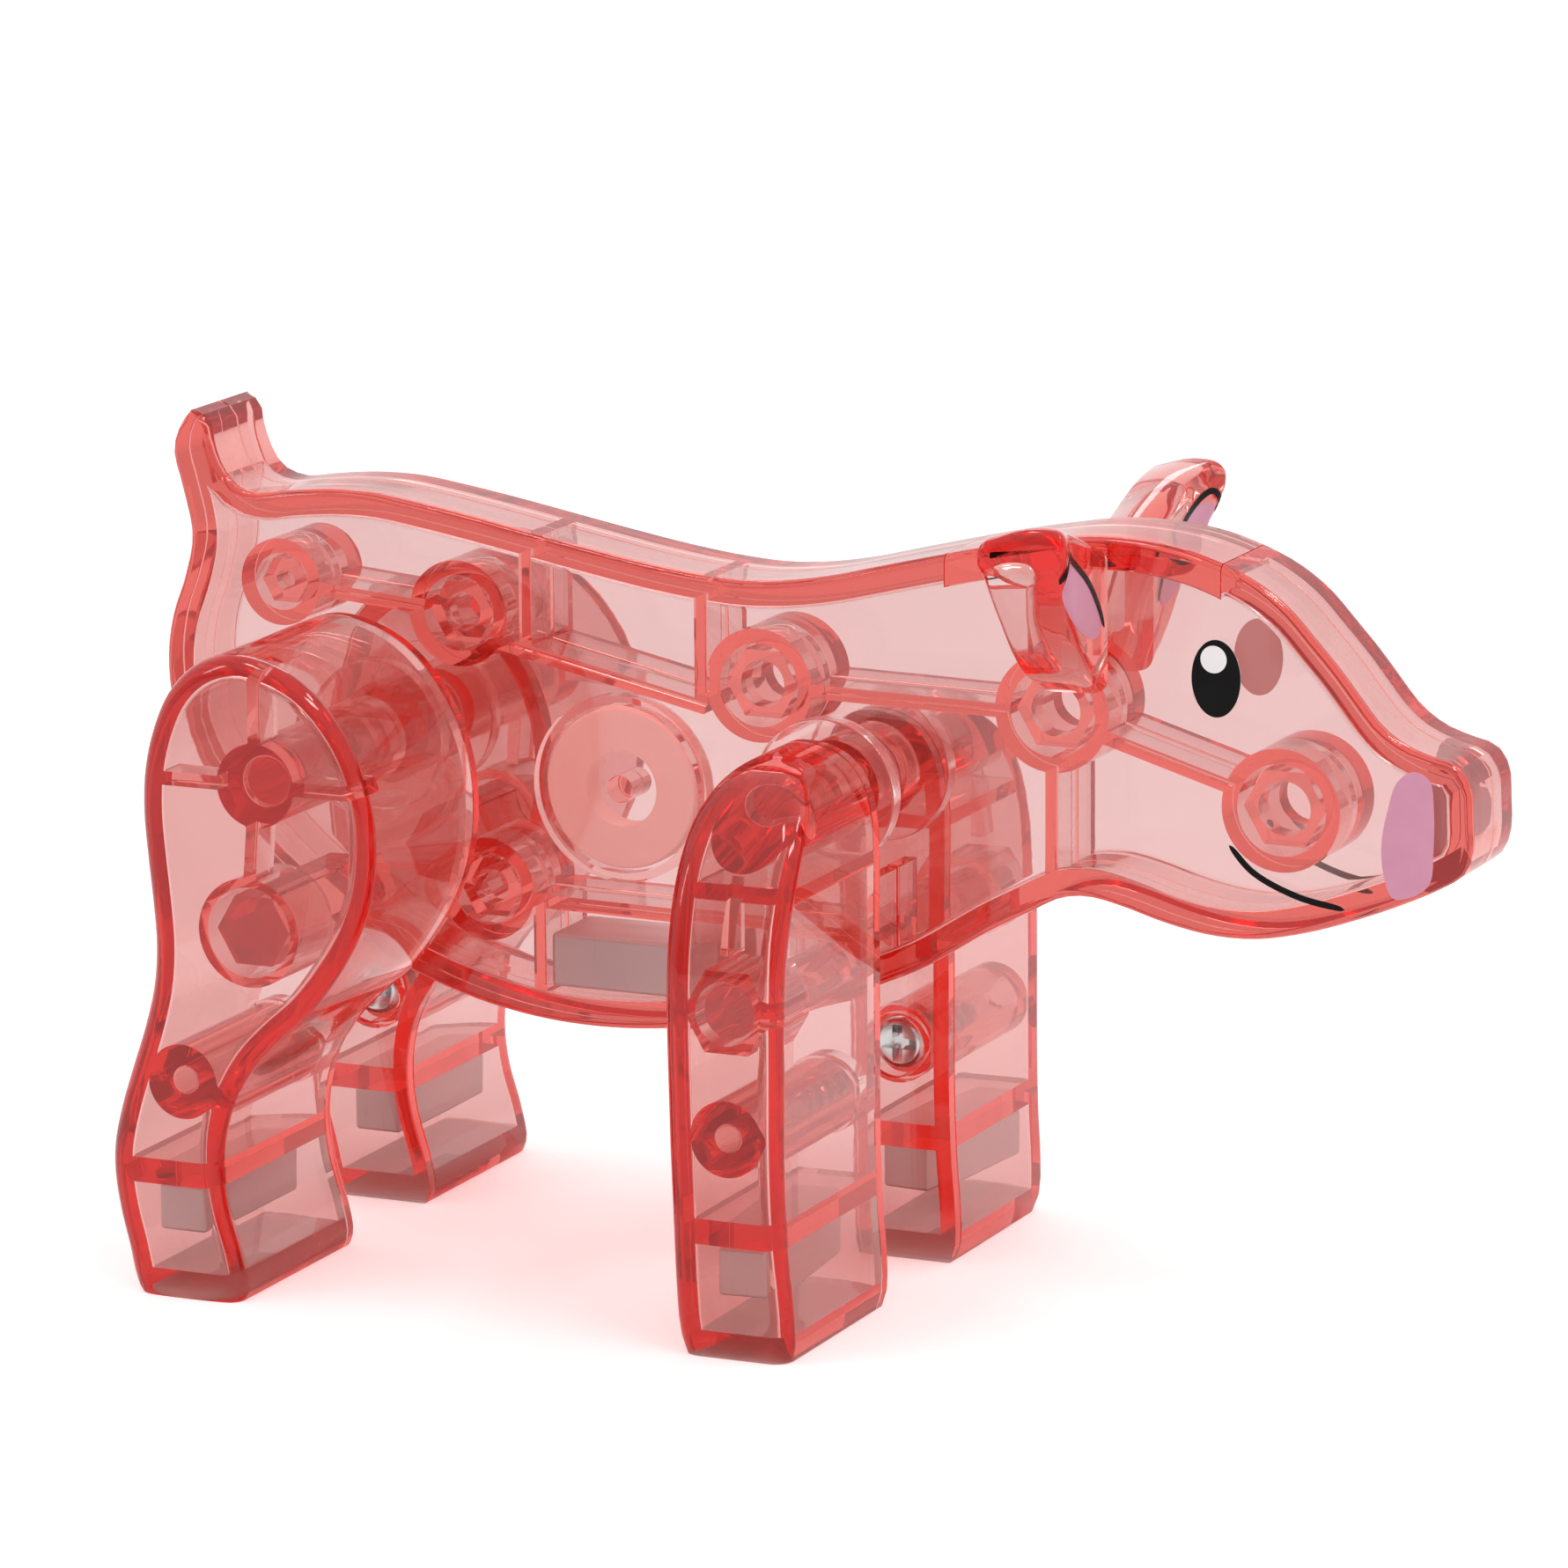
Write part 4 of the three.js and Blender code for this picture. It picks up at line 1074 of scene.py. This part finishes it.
def leg_cavity(row, leg):
    if row == "front":
        return shoulder_stack("cavity", LEG_WALL, 1.0, 0.5, SOLE)
    cavity = plate("cavity", inset(leg["outline"], LEG_WALL), FACE_IN, 1, 0.4, 0, 3)
    return combined(cavity, [cut(below("sole", FACE_IN - 1, 2, SOLE))])


def leg_inside(row, leg):
    """Everything that stands inside a leg shell, trimmed to lie within its wall."""
    root = FACE_IN - LEG_FACE / 2
    socket, (back, front), low = leg["socket"], leg["shelf"], leg["partition"]
    tube = socket["at"], socket["outer"], root, FACE_IN + SOCKET_DEPTH, 0.15, socket["sides"]
    boss_end = -(LEG_INNER + CUP_DEPTH + CUP_FLOOR + COVER_GAP)
    steps = [add(rib("spoke", (*leg["pivot"], *end), LEG_RIB, root, FACE_IN + SPOKE_DEPTH, 0.12))
             for end in leg["spokes"]]
    steps += [
        add(rod("socket", *tube)), add(rod("boss", leg["screw"], SCREW_BOSS_R, root, boss_end, 0.15, 48)),
        add(block("shelf", (back, root, SHELF_Z), (front, SHELL_END, SHELF_Z + SHELF))),
    ]
    if low:
        steps += [add(block("partition", (back, root, low), (front, SHELL_END, low + LEG_RIB)))]
    if row == "front":
        trim = shoulder_stack("trim", LEG_WALL / 2, 1.0, 1.0, 1.0)
    else:
        trim = plate("trim", inset(leg["outline"], LEG_WALL / 2), LEG_OUTER + LEG_FACE / 3, 1)
    return combined(rod("hub", leg["pivot"], HUB_R, root, SHELL_END, 0, 64), [*steps, within(trim)])


def leg_shell(row, leg):
    bore_end = -(leg["reach"] + AXLE_END)
    return combined(leg_blank(row + "_shell", row, SHELL_END), [
        cut(leg_cavity(row, leg)), add(leg_inside(row, leg)),
        cut(rod("bore", leg["pivot"], AXLE_R + AXLE_PLAY, bore_end, 1, 0.2, 64)),
        cut(rod("hole", leg["socket"]["at"], leg["socket"]["inner"], FACE_IN + 0.2, 1)),
        cut(rod("pilot", leg["screw"], SHANK_R + SCREW_PLAY, FACE_IN + 1, 1, 0.2, 32)),
    ])


def leg_cover(row, leg):
    floor = -(LEG_INNER + CUP_DEPTH)
    cup = HEAD_R + CUP_PLAY
    socket = leg["socket"]
    if row == "front":
        cover = shoulder_stack("cover", 0.0, -LEG_INNER, 0.05, 0.0)
        beyond = block("beyond", (-20, LEG_OUTER - 1, -1), (20, COVER_END, 60))
    else:
        cover = plate("cover", leg["outline"], COVER_END, -LEG_INNER, 0, 0.15, 2)
        beyond = below("beyond", LEG_OUTER - 1, 1)
    pin_end = FACE_IN + 1.0
    inner_end = COVER_END + 0.2
    cup_piece = rod("cup", leg["screw"], cup + CUP_WALL, floor - CUP_FLOOR, inner_end, 0.1)
    room = plate("room", inset(leg["outline"], LEG_WALL + COVER_GAP), LEG_OUTER, 0)
    return combined(cover, [
        cut(beyond),
        add(combined(cup_piece, [within(room)])),
        add(rod("pin", socket["at"], socket["pin"], pin_end, inner_end, 0.2, socket["pin_sides"])),
        cut(rod("cup_hole", leg["screw"], cup, floor, 1)),
        cut(rod("shank_hole", leg["screw"], SHANK_R + SCREW_PLAY, floor - 3, 1, 0, 32)),
        cut(rod("axle_hole", leg["pivot"], AXLE_R + AXLE_PLAY, COVER_END - 1, 1, 0, 64)),
    ])


# %% [markdown]
# ## Screw threads, by Geometry Nodes
# A thread is one profile carried along a helix, which is the kind of shape that Geometry Nodes are made
# for. The Spiral node draws the helix, Curve to Mesh carries a four-sided profile along it, and the
# inputs are the thread's radius, pitch and length. Joined to the shank it is one closed solid.

# %% Screw threads, by Geometry Nodes


def build_thread_tree():
    tree, given, result = geometry_tree("screw_thread", [
        ("Radius", "NodeSocketFloat", 0.001), ("Pitch", "NodeSocketFloat", 0.0008),
        ("Length", "NodeSocketFloat", 0.007), ("Ridge", "NodeSocketFloat", 0.0002),
        ("Material", "NodeSocketMaterial", None),
    ])
    turns = math_node(tree, "DIVIDE", given.outputs["Length"], given.outputs["Pitch"])
    helix = add_node(tree, "GeometryNodeCurveSpiral", {
        "Resolution": 20, "Rotations": turns, "Start Radius": given.outputs["Radius"],
        "End Radius": given.outputs["Radius"], "Height": given.outputs["Length"],
    })
    profile = add_node(tree, "GeometryNodeCurvePrimitiveCircle", {
        "Resolution": 4, "Radius": given.outputs["Ridge"],
    })
    sweep = add_node(tree, "GeometryNodeCurveToMesh", {
        "Curve": helix.outputs["Curve"], "Profile Curve": profile.outputs["Curve"], "Fill Caps": True,
    })
    turn = add_node(tree, "GeometryNodeTransform", {
        "Geometry": sweep.outputs["Mesh"], "Rotation": (math.pi / 2, 0, 0),
    })
    return ended(tree, given, result, turn.outputs["Geometry"])


thread_tree = build_thread_tree()
print("tree:", thread_tree.name)

# %% [markdown]
# ## Screws
# A pan head with a cross recess: the head is a lathe profile of rings, the recess is cut with two tapered
# blades, and the shank carries the thread. One screw is made at the origin and copied to each leg.

# %% Screws
RECESS_REACH, RECESS_WIDTH, THREAD_PITCH, THREAD_RIDGE = 1.95, 0.5, 0.8, 0.2
HEAD_PROFILE = [(0.93, 0.0), (1.0, 0.08), (1.0, 0.6), (0.97, 0.86), (0.9, 1.05), (0.76, 1.2), (0.5, 1.28)]


def tapered_blade(name, half_length, half_width, top, bottom, turned):
    """One arm of the cross recess, narrower at the bottom."""
    corners = []
    for y, share in ((top, 1.0), (bottom, 0.35)):
        a, b = half_length * share, half_width * (0.6 + 0.4 * share)
        for x, z in ((-a, -b), (a, -b), (a, b), (-a, b)):
            corners.append((z, y, x) if turned else (x, y, z))
    faces = [(0, 1, 2, 3), (7, 6, 5, 4), (0, 4, 5, 1), (1, 5, 6, 2), (2, 6, 7, 3), (3, 7, 4, 0)]
    return mesh_piece(name, corners, faces)


def build_screw():
    seat = -(LEG_INNER + CUP_DEPTH) + 0.15
    rings = []
    for share, up in HEAD_PROFILE:
        flat = circle((0, 0), HEAD_R * share, 56)
        rings.append(np.stack([flat[:, 0], np.full(56, seat + up), flat[:, 1]], axis=1))
    head = ring_stack("head", rings)
    shank = rod("shank", (0, 0), SHANK_R - 0.18, seat - SCREW_LENGTH, seat + 0.2, 0.3, 40)
    start = bpy.data.meshes.new("thread_start")
    thread = made_by(thread_tree, "thread", start, {
        "Radius": (SHANK_R - THREAD_RIDGE) * MM, "Pitch": THREAD_PITCH * MM,
        "Length": (SCREW_LENGTH - 1.4) * MM, "Ridge": THREAD_RIDGE * MM, "Material": STEEL,
    })
    thread.data.transform(Matrix.Translation((0, (seat - 0.5) * MM, 0)))
    recess = (RECESS_REACH, RECESS_WIDTH, seat + 1.5, seat + 0.3)
    blades = [tapered_blade("blade", *recess, turned) for turned in (False, True)]
    steps = [add(shank), add(thread)] + [cut(blade) for blade in blades]
    return combined(head, steps)


screw_master = build_screw()
print("screw:", len(screw_master.data.polygons), "faces")


def screw_at(name, at):
    mesh = screw_master.data.copy()
    mesh.transform(Matrix.Translation(Vector((at[0], 0, at[1])) * MM))
    return placed(name, mesh)


# %% [markdown]
# ## The four legs
# Each leg is five pieces: shell, cover, screw, magnet and washer. They are made for the right side, and
# mirrored for the left. All of a leg's pieces ride on that leg's body, so they turn together.

# %% The four legs


def foot_magnet(leg):
    x, turn = leg["magnet"]
    half = Vector(FOOT_MAGNET) / 2
    middle = Vector((x, -(LEG_INNER + MAGNET_SETBACK) - half.y, SHELF_Z - MAGNET_PLAY - half.z))
    bar = block("bar", -half, half, 0.35)
    bar.data.transform(Matrix.Translation(middle * MM) @ Matrix.Rotation(math.radians(turn), 4, "Z"))
    return bar


def leg_washer(leg):
    middle = -(BODY_HALF_WIDTH + LEG_INNER) / 2
    half = WASHER_THICK / 2
    return ring("washer", leg["pivot"], WASHER_R, AXLE_R + AXLE_PLAY, middle - half, middle + half, 0.15)


for row, leg in LEGS.items():
    made = {
        "leg_shell": (leg_shell(row, leg), CLEAR_PINK, "clear"),
        "leg_cover": (leg_cover(row, leg), CLEAR_PINK, "clear"),
        "screw": (screw_at("screw", leg["screw"]), STEEL, "threaded"),
        "foot_magnet": (foot_magnet(leg), MAGNET, "bar"),
        "washer": (leg_washer(leg), WASHER_PLASTIC, "frosted"),
    }
    for part, (piece, material, word) in made.items():
        other = mirror_copy(piece)
        for side, shown in (("right", piece), ("left", other)):
            node = f"{row}_{side}_{part}"
            finished(shown, f"{node}_{word}", material, f"{row}_{side}_leg", node)
bpy.data.objects.remove(screw_master)

# %% [markdown]
# ## Printed eyes, smile and patches
# The face is printed in thin ink on the outside of each half. Ink has a little thickness, and real
# thickness gives it a clean edge where the plastic behind it is clear. Each print is a very thin plate with
# a soft edge, a hair's breadth off the surface.

# %% Printed eyes, smile and patches
INK = 0.05
INK_LIFT = 0.012
EYE_AT, EYE_HALF = (37.7, 56.0), (2.16, 3.25)
GLINT_AT, GLINT_R = (37.5, 57.6), 1.15
SMILE = [(38.9, 42.1), (41.0, 40.0), (44.9, 38.3), (49.0, 37.55)]
SMILE_WIDTH = 0.55
SNOUT = [
    (54.9, 49.6), (53.5, 48.6), (52.7, 46.2), (52.2, 43.4), (52.4, 40.8), (53.2, 38.9), (55.0, 39.2),
    (56.4, 40.4), (56.7, 43.0), (56.7, 46.5), (56.3, 49.0),
]


def ellipse(at, half, sides=64):
    return circle((0, 0), 1.0, sides) * np.array(half) + np.array(at)


def stroke(line, width, count=40):
    """The outline of a pen stroke along a line, thinner and round at its ends."""
    path = evenly(catmull_rom(line, False), count, closed=False)
    along = np.gradient(path, axis=0)
    along /= np.linalg.norm(along, axis=1)[:, None]
    across = np.stack([-along[:, 1], along[:, 0]], axis=1)
    share = np.linspace(-1, 1, count)
    half = (width / 2 * np.sqrt(np.clip(1.02 - share**10, 0.02, 1)))[:, None]
    return np.vstack([path + across * half, (path - across * half)[::-1]])


def printed_on_both(name, piece, material):
    other = mirror_copy(piece)
    finished(piece, name + "_right", material, "torso")
    finished(other, name + "_left", material, "torso")


def print_on_side(name, outline, material, layer=0):
    """One print on the pig's right side face, and its mirror image on the left one."""
    outline = np.asarray(outline)
    after = np.roll(outline, -1, axis=0)
    twice_area = np.sum(outline[:, 0] * after[:, 1] - outline[:, 1] * after[:, 0])
    if twice_area < 0:
        outline = outline[::-1]
    top = -BODY_HALF_WIDTH - INK_LIFT - INK * layer * 1.2
    printed_on_both(name, plate(name, outline, top - INK, top, INK * 0.6, 0, 2), material)


print_on_side("eye_primer", ellipse(EYE_AT, EYE_HALF), INK_PRIMER)
print_on_side("eye_print", ellipse(EYE_AT, EYE_HALF), INK_BLACK, 1)
print_on_side("eye_glint_print", circle(GLINT_AT, GLINT_R), INK_WHITE, 2)
print_on_side("smile_print", stroke(SMILE, SMILE_WIDTH), INK_BLACK)
print_on_side("snout_print", smooth_outline(SNOUT, 90), INK_MAUVE)

# %% [markdown]
# ## Prints on the ears
# The front of each ear carries a mauve patch with a thick black line over its top. The face isn't quite
# flat, so a grid of points is dropped onto it from the front, and gets its thickness along the face's own
# normals. The patch is a grid of rings around its middle, and the line is a grid along a curve.

# %% Prints on the ears
PATCH_AT, PATCH_HALF, PATCH_TILT = (-11.6, 62.9), (5.6, 2.0), 143
EAR_LINE = [
    (-16.5, 65.3), (-16.8, 66.6), (-15.9, 67.5), (-13.2, 66.4), (-9.6, 64.1), (-7.4, 61.6), (-6.4, 59.8),
]
EAR_LINE_WIDTH = 0.55
ear_surface = BVHTree.FromObject(ears, bpy.context.evaluated_depsgraph_get())


def on_ear(y, z, lift):
    """A point on the front of the right ear, lifted off it."""
    spot, normal, _, _ = ear_surface.ray_cast(Vector((40, y, z)) * MM, (-1, 0, 0))
    return spot / MM + normal * lift


def patch_grid(rings=9, sides=56):
    a = math.radians(PATCH_TILT)
    along, across = np.array([math.cos(a), math.sin(a)]), np.array([-math.sin(a), math.cos(a)])
    turn = circle((0, 0), 1.0, sides)
    flat = turn[:, :1] * PATCH_HALF[0] * along + turn[:, 1:] * PATCH_HALF[1] * across
    return [np.array(PATCH_AT) + flat * share for share in np.linspace(0, 1, rings)]


def line_grid(rows=5):
    outline = stroke(EAR_LINE, EAR_LINE_WIDTH)
    one, other = outline[: len(outline) // 2], outline[len(outline) // 2:][::-1]
    return [one + (other - one) * share for share in np.linspace(0, 1, rows)]


def print_on_ears(name, grid, closed, material, layer):
    rows, count = len(grid), len(grid[0])
    lifts = [INK_LIFT + INK * (1.2 * layer + k) for k in (0, 1)]
    points = [on_ear(y, z, lift) for lift in lifts for row in grid for y, z in row]
    faces = []

    def at(top, i, j):
        return top * rows * count + i * count + j % count

    for i in range(rows - 1):
        for j in range(count if closed else count - 1):
            for top in (0, 1):
                faces.append((at(top, i, j), at(top, i, j + 1), at(top, i + 1, j + 1), at(top, i + 1, j)))
    rim = [(rows - 1, j, rows - 1, j + 1) for j in range(count if closed else count - 1)]
    if not closed:
        rim += [(0, j, 0, j + 1) for j in range(count - 1)]
        rim += [(i, j, i + 1, j) for i in range(rows - 1) for j in (0, count - 1)]
    faces += [(at(0, a, b), at(0, c, d), at(1, c, d), at(1, a, b)) for a, b, c, d in rim]
    printed_on_both(name, mesh_piece(name, points, faces), material)


print_on_ears("ear_patch_print", patch_grid(), True, INK_MAUVE, 0)
print_on_ears("ear_line_print", line_grid(), False, INK_BLACK, 1)
